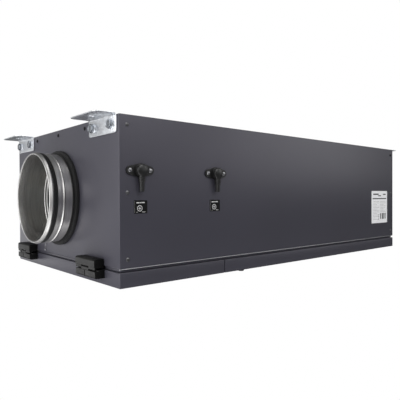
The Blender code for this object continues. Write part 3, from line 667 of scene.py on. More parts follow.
@dataclass(frozen=True)
class Finish:
    """What all finishes share: how they send light back, and the depth and strength of their texture."""

    name: str
    colour: tuple[float, float, float]
    roughness: float
    gloss: float = 0.5
    sheen: tuple[float, float, float] = (1.0, 1.0, 1.0)
    metallic: float = 0.0
    fuzz: float = 0.0
    depth: float = 0.0001
    relief: float = 0.35

    def material(self, effects: Effects) -> bpy.types.Material:
        """The material of this finish, built on first use.

        Args:
            effects: The shared effects.

        Returns:
            The material.
        """
        found = bpy.data.materials.get(self.name)
        if found is not None:
            return found
        material = bpy.data.materials.new(self.name)
        material.use_nodes = True
        nodes = Nodes(material.node_tree)
        shader = material.node_tree.nodes["Principled BSDF"]
        plain = {
            "Base Color": (*self.colour, 1.0),
            "Roughness": self.roughness,
            "Specular IOR Level": self.gloss,
            "Specular Tint": (*self.sheen, 1.0),
            "Metallic": self.metallic,
            "Sheen Weight": self.fuzz,
        }
        for name, value in plain.items():
            shader.inputs[name].default_value = value
        base, rough, height = self.dress(nodes, effects)
        bump = nodes.add("Bump", {"Height": height, "Distance": self.depth, "Strength": self.relief})
        nodes.link(base, shader, "Base Color")
        if rough is not None:
            nodes.link(rough, shader, "Roughness")
        nodes.link(bump.outputs[0], shader, "Normal")
        return material

    def dress(self, nodes: Nodes, effects: Effects) -> Coat:
        """Add this finish's own nodes, and give the colour, the roughness where it varies, and the height."""
        raise NotImplementedError

    def shade(self, factor: float) -> tuple[float, float, float, float]:
        """This finish's colour, made darker or lighter."""
        return (*(min(part * factor, 1.0) for part in self.colour), 1.0)


@dataclass(frozen=True)
class Grained(Finish):
    """A finish with fine grain and slow changes of tone, and with glints, worn edges and dust where it has them."""

    grain_scale: float = 650.0
    glints: float = 0.0
    tone_scale: float = 3.5
    tones: tuple[float, float] = (0.94, 1.06)
    wear: float = 0.0
    wear_tone: float = 1.0
    wear_width: float = 0.0008
    wear_break: float = 70.0
    dust: float = 0.0
    dust_dulls: float = 0.0
    dust_break: float = 55.0
    dust_colour: tuple[float, float, float] = (0.42, 0.40, 0.38)
    smoother: float = 0.05
    rougher: float = 0.05

    def dress(self, nodes: Nodes, effects: Effects) -> Coat:
        """Add grain, tone changes, edge wear and dust.

        Args:
            nodes: The builder of the tree.
            effects: The shared effects.

        Returns:
            The colour, the roughness and the height.
        """
        grain = nodes.use(effects.grain, "Value", Scale=self.grain_scale)
        height = nodes.use(effects.grain, "Height", Scale=self.grain_scale)
        tone = nodes.use(effects.tone, "Value", Scale=self.tone_scale)
        base = nodes.mix(tone, self.shade(self.tones[0]), self.shade(self.tones[1]))
        rough = nodes.span(grain, 0.3, 0.7, self.roughness - self.smoother, self.roughness + self.rougher)
        if self.glints:
            base = nodes.lay(base, grain, self.glints, self.shade(1.5))
        if self.wear:
            wear = nodes.use(effects.edge_wear, "Mask", Width=self.wear_width, Break=self.wear_break)
            base = nodes.lay(base, wear, self.wear, self.shade(self.wear_tone))
        if self.dust:
            dust = nodes.use(effects.dust, "Mask", Break=self.dust_break)
            base = nodes.lay(base, dust, self.dust, (*self.dust_colour, 1.0))
            rough = nodes.math("ADD", rough, nodes.math("MULTIPLY", dust, self.dust_dulls))
        return base, rough, height


@dataclass(frozen=True)
class PowderCoat(Grained):
    """Semi gloss powder coat on sheet steel, with orange peel, worn edges and a little dust."""

    depth: float = 0.00012
    glints: float = 0.10
    wear: float = 0.35
    wear_tone: float = 2.4
    wear_width: float = 0.0014
    dust: float = 0.035
    dust_dulls: float = 0.10


@dataclass(frozen=True)
class ZincSheet(Finish):
    """Galvanised sheet steel, with spangle, hair scratches and dulled edges."""

    metallic: float = 1.0
    spangle_scale: float = 120.0
    contrast: float = 0.16

    def dress(self, nodes: Nodes, effects: Effects) -> Coat:
        """Add spangle, scratches and dull patches.

        Args:
            nodes: The builder of the tree.
            effects: The shared effects.

        Returns:
            The colour, the roughness and the height.
        """
        spangle = nodes.use(effects.spangle, "Value", Scale=self.spangle_scale)
        tone = nodes.use(effects.tone, "Value", Scale=9.0)
        scratches = nodes.use(effects.scratches, "Mask", Scale=26.0)
        wear = nodes.use(effects.edge_wear, "Mask", Width=0.0008, Break=120.0)
        value = nodes.span(spangle, 0.2, 0.8)
        base = nodes.mix(value, self.shade(1.0 - self.contrast), self.shade(1.0 + self.contrast))
        base = nodes.lay(base, tone, 0.22, self.shade(0.72))
        base = nodes.lay(base, wear, 0.5, self.shade(1.35))
        rough = nodes.span(spangle, 0.2, 0.8, self.roughness - 0.06, self.roughness + 0.06)
        rough = nodes.math("SUBTRACT", rough, nodes.math("MULTIPLY", scratches, 0.10))
        return base, rough, nodes.math("MULTIPLY", spangle, 0.25)


@dataclass(frozen=True)
class RolledZinc(Finish):
    """Bright zinc strip rolled to a duct, with fine rings left by the rollers."""

    metallic: float = 1.0
    relief: float = 0.8
    ring_scale: float = 1300.0

    def dress(self, nodes: Nodes, effects: Effects) -> Coat:
        """Add fine and broad rings, and faint clouding.

        Args:
            nodes: The builder of the tree.
            effects: The shared effects.

        Returns:
            The colour, the roughness and the height.
        """
        rings = nodes.use(effects.turning, "Value", Scale=self.ring_scale)
        cloud = nodes.use(effects.tone, "Value", Scale=18.0)
        lines = nodes.span(rings, 0.30, 0.70)
        base = nodes.lay(nodes.mix(lines, self.shade(0.80), self.shade(1.14)), cloud, 0.25, self.shade(0.84))
        rough = nodes.math("ADD", nodes.math("MULTIPLY", lines, -0.08), self.roughness + 0.04)
        return base, rough, rings


@dataclass(frozen=True)
class PlatedSteel(Grained):
    """Bright zinc plating on bolts and washers, with polished edges."""

    metallic: float = 1.0
    depth: float = 0.00004
    relief: float = 0.3
    grain_scale: float = 1500.0
    tone_scale: float = 60.0
    tones: tuple[float, float] = (0.88, 1.05)
    wear: float = 0.6
    wear_tone: float = 1.3
    wear_width: float = 0.0007
    wear_break: float = 300.0
    smoother: float = 0.06
    rougher: float = 0.08


@dataclass(frozen=True)
class Moulded(Grained):
    """Moulded plastic or rubber, with a fine sparked texture and paler rubbed edges."""

    depth: float = 0.00006
    relief: float = 0.5
    grain_scale: float = 2200.0
    tone_scale: float = 25.0
    tones: tuple[float, float] = (0.85, 1.15)
    wear: float = 0.30
    wear_tone: float = 4.0
    wear_break: float = 160.0
    dust: float = 0.035
    dust_break: float = 40.0
    dust_colour: tuple[float, float, float] = (0.38, 0.36, 0.34)
    smoother: float = 0.07
    rougher: float = 0.07


@dataclass(frozen=True)
class Fleece(Finish):
    """Needled filter fleece, with crossing fibres and grey from the first air through it."""

    fuzz: float = 0.25
    depth: float = 0.0005
    relief: float = 0.7

    def dress(self, nodes: Nodes, effects: Effects) -> Coat:
        """Add fibres and soot.

        Args:
            nodes: The builder of the tree.
            effects: The shared effects.

        Returns:
            The colour, no roughness and the height.
        """
        grain = nodes.use(effects.grain, "Height", Scale=1400.0)
        hairs = nodes.use(effects.scratches, "Mask", Scale=160.0)
        tone = nodes.use(effects.tone, "Value", Scale=14.0)
        base = nodes.lay(nodes.mix(tone, self.shade(0.80), self.shade(1.0)), hairs, 0.35, self.shade(1.2))
        return base, None, nodes.math("ADD", grain, nodes.math("MULTIPLY", hairs, 0.6))


@dataclass(frozen=True)
class Film(Grained):
    """Printed label film or ink, with a faint grain and a dulled sheen."""

    depth: float = 0.00002
    relief: float = 0.3
    grain_scale: float = 2600.0
    tone_scale: float = 40.0
    tones: tuple[float, float] = (0.93, 1.0)
    smoother: float = 0.04
    rougher: float = 0.06


class Paint(Enum):
    """The finishes of this unit."""

    CASING = PowderCoat("graphite_powder_coat", (0.0392, 0.0384, 0.0495), 0.38, sheen=(0.95, 0.915, 1.0))
    LINER = ZincSheet("zinc_liner_sheet", (0.60, 0.61, 0.62), 0.36, spangle_scale=80.0)
    DUCT = RolledZinc("rolled_zinc_duct", (0.72, 0.71, 0.695), 0.30)
    # A darker, rougher copy of the duct's zinc for its rim; the darker colour is painted shade that tones down the
    # rim's highlights.
    RIM = RolledZinc("rolled_zinc_rim", (0.50, 0.495, 0.485), 0.40)
    RIVET = PlatedSteel("painted_rivet", (0.13, 0.13, 0.135), 0.34)
    BRACKET = ZincSheet("bent_zinc_bracket", (0.78, 0.80, 0.83), 0.34, spangle_scale=240.0, contrast=0.07)
    HEM = ZincSheet("folded_zinc_hem", (0.50, 0.50, 0.52), 0.42, spangle_scale=400.0, contrast=0.02)
    BOLT = PlatedSteel("bright_plated_bolt", (0.34, 0.36, 0.39), 0.18)
    SCREW = PlatedSteel("plated_pan_screw", (0.30, 0.30, 0.31), 0.28)
    NYLON = Moulded("black_glass_filled_nylon", (0.004, 0.004, 0.004), 0.52, gloss=0.13)
    GLAND = Moulded("black_cable_gland", (0.006, 0.006, 0.006), 0.36, gloss=0.45)
    # A lighter copy of the black nylon for the hinges' outer faces: painted light, standing for the light that falls
    # on those faces.
    NYLON_FACE_PAINTED_LIGHT = Moulded("nylon_outer_face_painted_light", (0.030, 0.030, 0.030), 0.58, gloss=0.25)
    RUBBER = Moulded("black_sealing_rubber", (0.006, 0.006, 0.0065), 0.60, 0.25, grain_scale=1500.0, wear=0.08)
    FOAM = Moulded("closed_cell_foam", (0.018, 0.018, 0.019), 0.85, grain_scale=700.0, depth=0.0004, wear=0.05)
    FLEECE = Fleece("pleated_filter_fleece", (0.66, 0.68, 0.66), 0.92)
    CARD = Film("filter_frame_card", (0.50, 0.44, 0.34), 0.80)
    MOTOR = Moulded("painted_motor_casting", (0.10, 0.10, 0.105), 0.48, grain_scale=500.0, depth=0.0002, wear=0.15)
    WHEEL = Moulded("fan_wheel_composite", (0.030, 0.031, 0.034), 0.44, grain_scale=1200.0)
    LABEL = Film("white_label_film", (0.90, 0.90, 0.91), 0.42)
    PLATE = Film("black_label_film", (0.004, 0.004, 0.004), 0.45, gloss=0.15)
    PRINT = Film("grey_label_print", (0.030, 0.030, 0.032), 0.50)
    MARK = Film("white_label_print", (0.58, 0.58, 0.58), 0.50)


class Dresser:
    """Gives pieces their finish, their body and their shading."""

    def __init__(self) -> None:
        """Build the shared effects."""
        self.effects = Effects()
        self.count = 0

    def paint(self, item: Item, *paints: Paint) -> None:
        """Give a piece its materials, in the order of its material numbers.

        Args:
            item: The piece.
            paints: Its finishes.
        """
        item.data.materials.clear()
        for paint in paints:
            item.data.materials.append(paint.value.material(self.effects))

    def share(self, item: Item, number: int, test: Test) -> None:
        """Give some faces of a piece another of its materials.

        Args:
            item: The piece.
            number: The number of the material.
            test: Says of a middle and a normal whether the face gets it.
        """
        while len(item.data.materials) <= number:
            item.data.materials.append(None)
        for face in item.data.polygons:
            if test(face.center, face.normal):
                face.material_index = number

    def piece(
        self,
        item: Item,
        paint: Paint | Sequence[Paint],
        slot: str = "galvanised_steel",
        replaces: Sequence[str] = (),
        body: Body = Body.CASING,
        angle: float = 30.0,
    ) -> Item:
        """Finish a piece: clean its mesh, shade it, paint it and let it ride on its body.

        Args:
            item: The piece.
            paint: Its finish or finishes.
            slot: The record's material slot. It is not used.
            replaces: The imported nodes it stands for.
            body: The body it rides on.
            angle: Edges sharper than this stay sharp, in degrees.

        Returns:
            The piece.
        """
        Bench.settle(item)
        Bench.edit(item)
        bpy.ops.mesh.remove_doubles(threshold=0.000005)
        Bench.leave()
        Bench.only(item)
        bpy.ops.object.shade_smooth_by_angle(angle=math.radians(angle))
        paints = [paint] if isinstance(paint, Paint) else list(paint)
        numbers = [face.material_index for face in item.data.polygons]
        self.paint(item, *paints)
        for face, number in zip(item.data.polygons, numbers):
            face.material_index = number
        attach(item, body.value)
        if replaces:
            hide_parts(*replaces)
        self.count += 1
        LOG.info("%s: %d faces, rides on %s", item.name, len(item.data.polygons), body.value)
        return item

    def keep(self, node: str, paint: Paint) -> None:
        """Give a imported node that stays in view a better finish."""
        self.paint(frame["nodes"][node], paint)
        LOG.info("%s: kept, in %s", node, paint.value.name)


@dataclass
class Casing:
    """The insulated casing: a painted skin with round shoulders, and a zinc liner inside."""

    dresser: Dresser
    wall: float = 0.030
    shoulder: float = 0.0016
    hole_radius: float = 0.0988
    rivet_radius: float = 0.0042
    rivet_height: float = 0.0014
    rivet_seat: float = 0.0004
    rivet_in: float = 0.0168
    rivet_heights: tuple[float, ...] = (0.1775, 0.0530, 0.3040)
    end_rivet_height: float = 0.3110
    end_rivet_places: tuple[float, ...] = (0.1391, 0.2747, 0.4047)
    dimple_play: float = 0.0012
    dimple_cover: float = 0.0001
    hem_height: float = 0.0017
    hem_width: float = 0.0040
    hem_in: float = 0.0003
    hem_end: float = 0.0006
    return_in: float = 0.0042
    return_width: float = 0.0035
    tab_along: float = 0.3550
    tab_height: float = 0.0420
    tab_sheet: float = 0.0012
    tab_width: float = 0.0024
    panels: tuple[str, ...] = ("front_panel", "rear_panel", "near_side_panel", "far_side_panel", "top_panel")

    def build(self) -> None:
        """Build the shell, the hem, the rivets and the tab, and finish the seal and the seam rail."""
        self.build_shell()
        self.build_hem()
        self.build_rivets()
        self.build_tab()
        self.dresser.keep("casing_gasket", Paint.FOAM)
        self.dresser.keep("lid_seam_rail", Paint.LINER)

    def build_shell(self) -> None:
        """One shell stands for the five panels."""
        low, high = reach_of(*self.panels)
        shell = Bench.box("casing_shell", low, high)
        inset = Vector((self.wall, self.wall, self.wall))
        hollow_low = low + inset
        hollow_low.z = low.z - self.wall
        hollow = Bench.box("hollow", hollow_low, high - inset)
        Bench.carve(shell, hollow)
        Bench.soften(shell, self.shoulder, 3)
        for node, face in (("inlet_collar", low.x), ("outlet_collar", high.x)):
            middle = middle_of(node)
            start = (face - self.wall * 1.5, middle.y, middle.z)
            end = (face + self.wall * 1.5, middle.y, middle.z)
            Bench.carve(shell, Bench.cylinder("hole", start, end, self.hole_radius, 96))
        deep = self.rivet_height + self.dimple_cover
        for along, up in self.rivet_spots() + self.painted_shade_rivet_spots():
            start, end = (along, high.y - deep, up), (along, high.y + deep, up)
            Bench.carve(shell, Bench.cylinder("dimple", start, end, self.rivet_radius + self.dimple_play, 28))
        inner_low, inner_high = low + inset * 0.9, high - inset * 0.9

        def inside(place: Vector, _: Vector) -> bool:
            """Whether a face lines the hollow."""
            across = inner_low.x < place.x < inner_high.x and inner_low.y < place.y < inner_high.y
            return across and place.z < inner_high.z

        self.dresser.share(shell, 1, inside)
        self.dresser.piece(shell, (Paint.CASING, Paint.LINER), "graphite_paint", self.panels)

    def ring(self, name: str, inset: float, thick: float, foot: float, top: float) -> Item:
        """A flat frame that runs round the casing.

        Args:
            name: The name of the piece.
            inset: How far its outer face is behind the casing's faces.
            thick: Its width.
            foot: The height of its lower face.
            top: The height of its upper face.

        Returns:
            The frame.
        """
        low, high = reach_of(*self.panels)
        side = Vector((1.0, 1.0, 0.0))
        first, last = low + side * inset, high - side * inset
        first.z, last.z = foot, top
        item = Bench.box(name, first, last)
        first, last = first + side * thick, last - side * thick
        first.z, last.z = foot - thick, top + thick
        Bench.carve(item, Bench.box("window", first, last))
        return item

    def build_hem(self) -> None:
        """The folded hem under the casing's lower edge, and the painted return behind it."""
        low, high = reach_of(*self.panels)
        lid_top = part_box("service_lid")[1].z
        top = low.z - 0.0001
        for name, across, turn in (("near", low.y + self.hem_in, 1.0), ("far", high.y - self.hem_in, -1.0)):
            ends = sorted((across, across + turn * self.hem_width))
            start = (low.x + self.hem_end, ends[0], low.z - self.hem_height)
            hem = Bench.box("casing_hem_" + name, start, (high.x - self.hem_end, ends[1], top))
            Bench.soften(hem, 0.0005, 3)
            self.dresser.piece(hem, Paint.HEM)
        foot, top = lid_top + 0.0010, low.z - self.hem_height * 0.5
        back = self.ring("casing_return", self.return_in, self.return_width, foot, top)
        Bench.soften(back, 0.0004, 2)
        self.dresser.piece(back, Paint.CASING, "graphite_paint")

    def rivet(self) -> Item:
        """One blind rivet whose head faces -Y, at the origin.

        Returns:
            The rivet.
        """
        radius, height = self.rivet_radius, self.rivet_height
        profile = [(self.rivet_seat, 0.0), (self.rivet_seat, radius), (-height * 0.35, radius * 0.97)]
        profile += [(-height * 0.85, radius * 0.75), (-height, radius * 0.42)]
        profile += [(-height * 0.55, radius * 0.36), (-height * 0.55, 0.0)]
        return Bench.turned("rivet", profile, (0.0, 0.0, 0.0), AXIS_Y, AXIS_X, 20)

    def rivet_spots(self) -> list[tuple[float, float]]:
        """Where the bright rivets of a long side are, along and up.

        Returns:
            The spots. The top rear corner has none.
        """
        low, high = reach_of(*self.panels)
        spots = [(low.x + self.rivet_in, LATCH_PLANE + up) for up in self.rivet_heights]
        return spots + [(high.x - self.rivet_in, LATCH_PLANE + up) for up in self.rivet_heights[:2]]

    def painted_shade_rivet_spots(self) -> list[tuple[float, float]]:
        """Where the one rivet of a long side that is painted black is, near the top rear corner: painted shade for
        the dark it reflects there.
        """
        return [(reach_of(*self.panels)[1].x - self.rivet_in, LATCH_PLANE + self.rivet_heights[2])]

    def build_rivets(self) -> None:
        """Rivets proud of the service side, flush in dimples in the far side, and along the ends' top edges."""
        low, high = reach_of(*self.panels)
        sunk = high.y - self.rivet_height - self.dimple_cover
        # The rivet near the top rear corner is black: painted shade for the dark it reflects there.
        kinds = (("side", self.rivet_spots(), Paint.RIVET), ("corner", self.painted_shade_rivet_spots(), Paint.NYLON))
        for name, across, mirror in (("near", low.y, ""), ("far", sunk, "Y")):
            for kind, places, paint in kinds:
                head = self.rivet()
                if mirror:
                    plain = head
                    head = Bench.copy(plain, "rivet_far", mirror=mirror)
                    bpy.data.objects.remove(plain, do_unlink=True)
                item = Bench.spread(head, kind + "_rivets_" + name, [(along, across, up) for along, up in places])
                self.dresser.piece(item, paint)
        for name, face, turn in (("front", low.x, -math.pi / 2), ("rear", high.x, math.pi / 2)):
            head = self.rivet()
            head.rotation_euler = (0.0, 0.0, turn)
            Bench.settle(head)
            up = LATCH_PLANE + self.end_rivet_height
            moves = [(face, low.y + across, up) for across in self.end_rivet_places]
            item = Bench.spread(head, "end_rivets_" + name, moves)
            self.dresser.piece(item, Paint.NYLON, "graphite_paint")

    def build_tab(self) -> None:
        """The small bent zinc tab on the inlet end, below the duct, with its pan head screw."""
        low, _ = reach_of(*self.panels)
        foot = Vector((low.x, low.y + self.tab_along, LATCH_PLANE + self.tab_height))
        half = self.tab_width / 2
        middle = [(0.0, 0.0), (0.0012, 0.0045), (0.0014, 0.0085), (-0.0004, 0.0125), (-0.0042, 0.0155)]
        left = [(across - half, up) for across, up in middle]
        right = [(across + half, up + half * 0.6) for across, up in reversed(middle)]
        points = [foot + Vector((0.0003, across, up)) for across, up in left + right]
        strip = Bench.prism("strip", points, (-self.tab_sheet - 0.0003, 0.0, 0.0))
        Bench.soften(strip, 0.0003, 2, 50.0)
        face = -self.tab_sheet
        profile = [(face + 0.0003, 0.0), (face + 0.0003, 0.0026), (face - 0.0005, 0.0026)]
        profile += [(face - 0.0014, 0.0019), (face - 0.0017, 0.0)]
        head = Bench.turned("head", profile, foot, AXIS_X, AXIS_Z, 24)
        item = Bench.join("spigot_tab", [strip, head])
        self.dresser.piece(item, Paint.SCREW)


@dataclass
class Lid:
    """One insulated lid: a painted tray with a zinc pan on its inner face."""

    dresser: Dresser
    node: str
    body: Body
    shoulder: float = 0.0014
    border: float = 0.022
    pan_depth: float = 0.0025

    def build(self) -> None:
        """Build the tray and press its pan."""
        low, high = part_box(self.node)
        tray = Bench.box(self.node + "_tray", low, high)
        Bench.edit(tray, everything=False)
        Bench.pick_faces(tray, lambda _, normal: normal.z > 0.9)
        bpy.ops.mesh.inset(thickness=self.border)
        bpy.ops.mesh.extrude_region_move(TRANSFORM_OT_translate={"value": (0.0, 0.0, -self.pan_depth)})
        bpy.ops.mesh.inset(thickness=self.border * 0.5)
        bpy.ops.transform.translate(value=(0.0, 0.0, self.pan_depth * 0.6))
        Bench.leave()
        Bench.soften(tray, self.shoulder, 3, 25.0)
        frame_low = low + Vector((self.border, self.border, 0.0))
        frame_high = high - Vector((self.border, self.border, 0.0))

        def pan(place: Vector, _: Vector) -> bool:
            """Whether a face belongs to the pan."""
            inside = frame_low.x < place.x < frame_high.x and frame_low.y < place.y < frame_high.y
            return inside and place.z > low.z + self.shoulder * 2

        self.dresser.share(tray, 1, pan)
        self.dresser.piece(tray, (Paint.CASING, Paint.LINER), "graphite_paint", [self.node], self.body)


@dataclass
class Latch:
    """A quarter turn latch head with a coin slot."""

    dresser: Dresser
    node: str
    body: Body
    slot_width: float = 0.0016
    slot_length: float = 0.011
    slot_depth: float = 0.0014

    def build(self) -> None:
        """Spin the head and cut its slot."""
        low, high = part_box(self.node)
        middle = (low + high) / 2
        radius = (high.x - low.x) / 2
        deep = high.z - low.z
        foot = Vector((middle.x, middle.y, low.z))
        profile = [(deep, 0.0), (deep, radius), (deep * 0.45, radius)]
        profile += [(deep * 0.18, radius * 0.93), (0.0, radius * 0.80), (0.0, 0.0)]
        head = Bench.turned(self.node + "_head", profile, foot, AXIS_Z, AXIS_X, 40)
        half = Vector((self.slot_length, self.slot_width, 0.0)) / 2
        below, deepest = AXIS_Z * -0.001, AXIS_Z * self.slot_depth
        Bench.carve(head, Bench.box("slot", foot + below - half, foot + deepest + half))
        Bench.soften(head, 0.0003)
        self.dresser.piece(head, Paint.NYLON, "black_nylon", [self.node], self.body)


@dataclass
class DuctConnection:
    """A rolled duct spigot with its double lip seal and the collar at the wall."""

    dresser: Dresser
    name: str
    end: End
    tube_radius: float = 0.0985
    sheet: float = 0.0015
    length: float = 0.062
    entry: float = 0.012
    rim_proud: float = 0.0025
    rim_crown: float = 0.0018
    rim_width: float = 0.0085
    seal_back: float = 0.0092
    seal_width: float = 0.0096
    seal_proud: float = 0.0015
    groove: float = 0.0025
    groove_sheet: float = 0.0006
    inner_beads: tuple[float, ...] = (0.0712, 0.0655)
    inner_bead_width: float = 0.0020
    inner_bead_proud: float = 0.0008
    bead_back: float = 0.0295
    bead_width: float = 0.0050
    bead_proud: float = 0.0013
    collar_proud: float = 0.0085
    collar_width: float = 0.0075
    lip_width: float = 0.0045
    lip_height: float = 0.0016
    seat: float = 0.0003
    steps: int = 144

    @property
    def mouth(self) -> Vector:
        """The middle of the duct's open end."""
        low, high = reach_of(self.name + "_spigot")
        return Vector((low.x if self.end is End.FRONT else high.x, (low.y + high.y) / 2, (low.z + high.z) / 2))

    def turned(self, name: str, profile: Profile) -> Item:
        """Spin a profile of (distance from the mouth, radius) points about the duct's axis."""
        return Bench.turned(name, profile, self.mouth, AXIS_X * self.end.value, AXIS_Z, self.steps, closed=True)

    def build(self) -> None:
        """Build the tube, the seal and the collar."""
        self.build_tube()
        self.build_seal()
        self.build_collar()

    def build_tube(self) -> None:
        """The rolled tube: rim, seal groove, bead and plain end, with the same shapes showing inside."""
        tube, sheet, rim = self.tube_radius, self.sheet, self.tube_radius + self.rim_proud
        bore, floor = tube - sheet, tube - self.groove
        ridge = floor - self.groove_sheet
        seal_end = self.seal_back + self.seal_width
        back = self.length + self.entry
        lip = (rim - self.rim_crown - ridge) / 2
        wide = self.rim_width
        profile = arc((lip, ridge + lip), lip, 270.0, 120.0, 12)
        profile += [(wide * 0.40, rim - 0.0011), (wide * 0.66, rim - 0.0002), (wide * 0.74, rim)]
        profile += [(wide * 0.84, rim - 0.0002), (wide * 0.94, rim - 0.0008), (wide, tube)]
        profile += [(self.seal_back, tube), (self.seal_back, floor), (seal_end, floor), (seal_end, tube)]
        for step in range(11):
            height = self.bead_proud * math.sin(math.pi * step / 10)
            profile.append((self.bead_back + self.bead_width * step / 10, tube + height))
        profile += [(self.length - 0.016, tube), (back, tube), (back, bore)]
        for place in self.inner_beads:
            for share, height in ((0.5, 0.0), (0.25, 0.7), (0.0, 1.0), (-0.25, 0.7), (-0.5, 0.0)):
                along = place + self.inner_bead_width * share
                profile.append((along, bore - self.inner_bead_proud * height))
        profile += [(seal_end + 0.016, bore), (seal_end + 0.008, bore - 0.0006), (seal_end, ridge)]
        item = self.turned(self.name + "_rolled_tube", profile)
        # The rim takes the darker zinc copy: painted shade on its highlights.
        mouth, paints = self.mouth, (Paint.DUCT, Paint.RIM)
        self.dresser.share(item, 1, lambda place, _: abs(place.x - mouth.x) < self.rim_width)
        self.dresser.piece(item, paints, "galvanised_steel", [self.name + "_spigot"], angle=24.0)

    def build_seal(self) -> None:
        """The rubber seal, whose two lips lean back over its base."""
        floor = self.tube_radius - self.groove + self.seat
        low = self.seal_back + self.seat
        high = self.seal_back + self.seal_width - self.seat
        wide = high - low
        top = self.tube_radius + self.seal_proud
        profile = [(low, floor), (low, self.tube_radius - 0.0004)]
        for start in (0.10, 0.56):
            profile += [(low + wide * start, self.tube_radius - 0.0002)]
            profile += [(low + wide * (start + 0.22), top), (low + wide * (start + 0.29), top - 0.0001)]
            profile += [(low + wide * (start + 0.18), self.tube_radius - 0.0003)]
        profile += [(high, self.tube_radius - 0.0004), (high, floor)]
        item = self.turned(self.name + "_lip_seal", profile)
        self.dresser.piece(item, Paint.RUBBER, "black_rubber", [self.name + "_seal"])

    def build_collar(self) -> None:
        """The moulded collar, with a thin lip along the tube and a rounded flange on the wall."""
        inner = self.tube_radius + self.seat
        top = self.tube_radius + self.collar_proud
        start = self.length - self.collar_width
        back = self.length - self.seat
        lip = inner + self.lip_height
        edge = start - self.lip_width
        profile = [(edge, inner), (edge, lip - 0.0005), (edge + 0.0006, lip), (start - 0.0006, lip)]
        profile += [(start, lip + 0.0008), (start, top - 0.0016), (start + 0.0005, top - 0.0005)]
        profile += [(start + 0.0016, top), (back, top), (back, inner)]
        item = self.turned(self.name + "_wall_collar", profile)
        self.dresser.piece(item, Paint.RUBBER, "black_rubber", [self.name + "_collar"])


@dataclass
class HangingBracket:
    """A bent hanging bracket with two hex bolts in its leg."""

    dresser: Dresser
    corner: str
    sheet: float = 0.0020
    bend: float = 0.0035
    leg_corner: float = 0.006
    tip_corner: float = 0.012
    hole_radius: float = 0.0048
    bolt_spread: float = 0.0365
    bolt_drop: float = 0.0195
    head_flats: float = 0.0160
    head_height: float = 0.0058
    washer_radius: float = 0.0095
    washer_sheet: float = 0.0017
    touch: float = 0.0001

    @property
    def end(self) -> End:
        """The end of the unit that the bracket is on."""
        return End.FRONT if "front" in self.corner else End.REAR

    def build(self) -> None:
        """Bend and pierce the bracket, then bolt it on."""
        node = "bracket_" + self.corner
        low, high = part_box(node)
        wall = high.x if self.end is End.FRONT else low.x
        out = -self.end.value
        deep = high.x - low.x
        middle_y = (low.y + high.y) / 2
        turn = self.sheet + self.bend
        outline = [(0.0, low.z)]
        outline += arc((turn, high.z - turn), turn, 180.0, 90.0, 6)
        outline += [(deep, high.z), (deep, high.z - self.sheet)]
        outline += arc((turn, high.z - turn), self.bend, 90.0, 180.0, 6)
        outline += [(self.sheet, low.z)]
        points = [(wall + out * along, low.y, up) for along, up in outline]
        plate = Bench.prism("hanging_bracket_" + self.corner, points, (0.0, high.y - low.y, 0.0))
        tip = wall + out * deep

        def at_side(place: Vector) -> bool:
            """Whether a place is on one of the bracket's side faces."""
            return abs(abs(place.y - middle_y) - (high.y - low.y) / 2) < self.touch

        def leg_corners(place: Vector, run: Vector) -> bool:
            """Whether an edge is a corner of the leg."""
            return at_side(place) and abs(run.x) > 0.9 and abs(place.z - low.z) < self.touch

        def tip_corners(place: Vector, run: Vector) -> bool:
            """Whether an edge is a corner of the flange's tip."""
            return at_side(place) and abs(run.z) > 0.9 and abs(place.x - tip) < self.touch

        for corners, radius in ((leg_corners, self.leg_corner), (tip_corners, self.tip_corner)):
            Bench.edit(plate, everything=False)
            Bench.pick_edges(plate, corners)
            bpy.ops.mesh.bevel(offset=radius, segments=8, affect="EDGES")
            Bench.leave()
        hole = wall + out * (deep + self.sheet) / 2
        start, end = (hole, middle_y, high.z - 0.01), (hole, middle_y, high.z + 0.01)
        Bench.carve(plate, Bench.cylinder("drill", start, end, self.hole_radius, 40))
        Bench.soften(plate, 0.0004, 2, 50.0)
        self.dresser.piece(plate, Paint.BRACKET, "galvanised_steel", [node])
        face = wall + out * self.sheet
        for number, side in enumerate((-1.0, 1.0)):
            place = Vector((face, middle_y + side * self.bolt_spread, high.z - self.bolt_drop))
            self.bolt("bracket_bolt_" + self.corner + "_" + str(number + 1), place, out)

    def bolt(self, name: str, place: Vector, out: float) -> None:
        """One hex bolt with its washer, whose head faces away from the wall.

        Args:
            name: The name of the piece.
            place: The middle of the washer's inner face.
            out: The direction along X that leads away from the wall.
        """
        radius = self.washer_radius
        thick = self.washer_sheet
        profile = [(0.0, 0.0), (0.0, radius), (thick * 0.7, radius), (thick, radius - 0.0005), (thick, 0.0)]
        washer = Bench.turned("washer", profile, place, AXIS_X * out, AXIS_Z, 40)
        start = place + Vector((out * thick, 0.0, 0.0))
        end = start + Vector((out * self.head_height, 0.0, 0.0))
        head = Bench.cylinder("head", start, end, self.head_flats / math.sqrt(3.0), 6)
        Bench.edit(head, everything=False)
        Bench.pick_faces(head, lambda _, normal: normal.x * out > 0.9)
        bpy.ops.mesh.inset(thickness=0.0011)
        bpy.ops.transform.translate(value=(out * 0.0004, 0.0, 0.0))
        bpy.ops.mesh.inset(thickness=0.0012)
        bpy.ops.transform.translate(value=(-out * 0.0005, 0.0, 0.0))
        Bench.leave()
        Bench.soften(head, 0.0005, 2, 20.0)
        item = Bench.join(name, [washer, head])
        reach = (place.x + out * thick * 1.01) * out
        self.dresser.share(item, 1, lambda middle, _: middle.x * out > reach)
        self.dresser.piece(item, (Paint.BRACKET, Paint.BOLT))


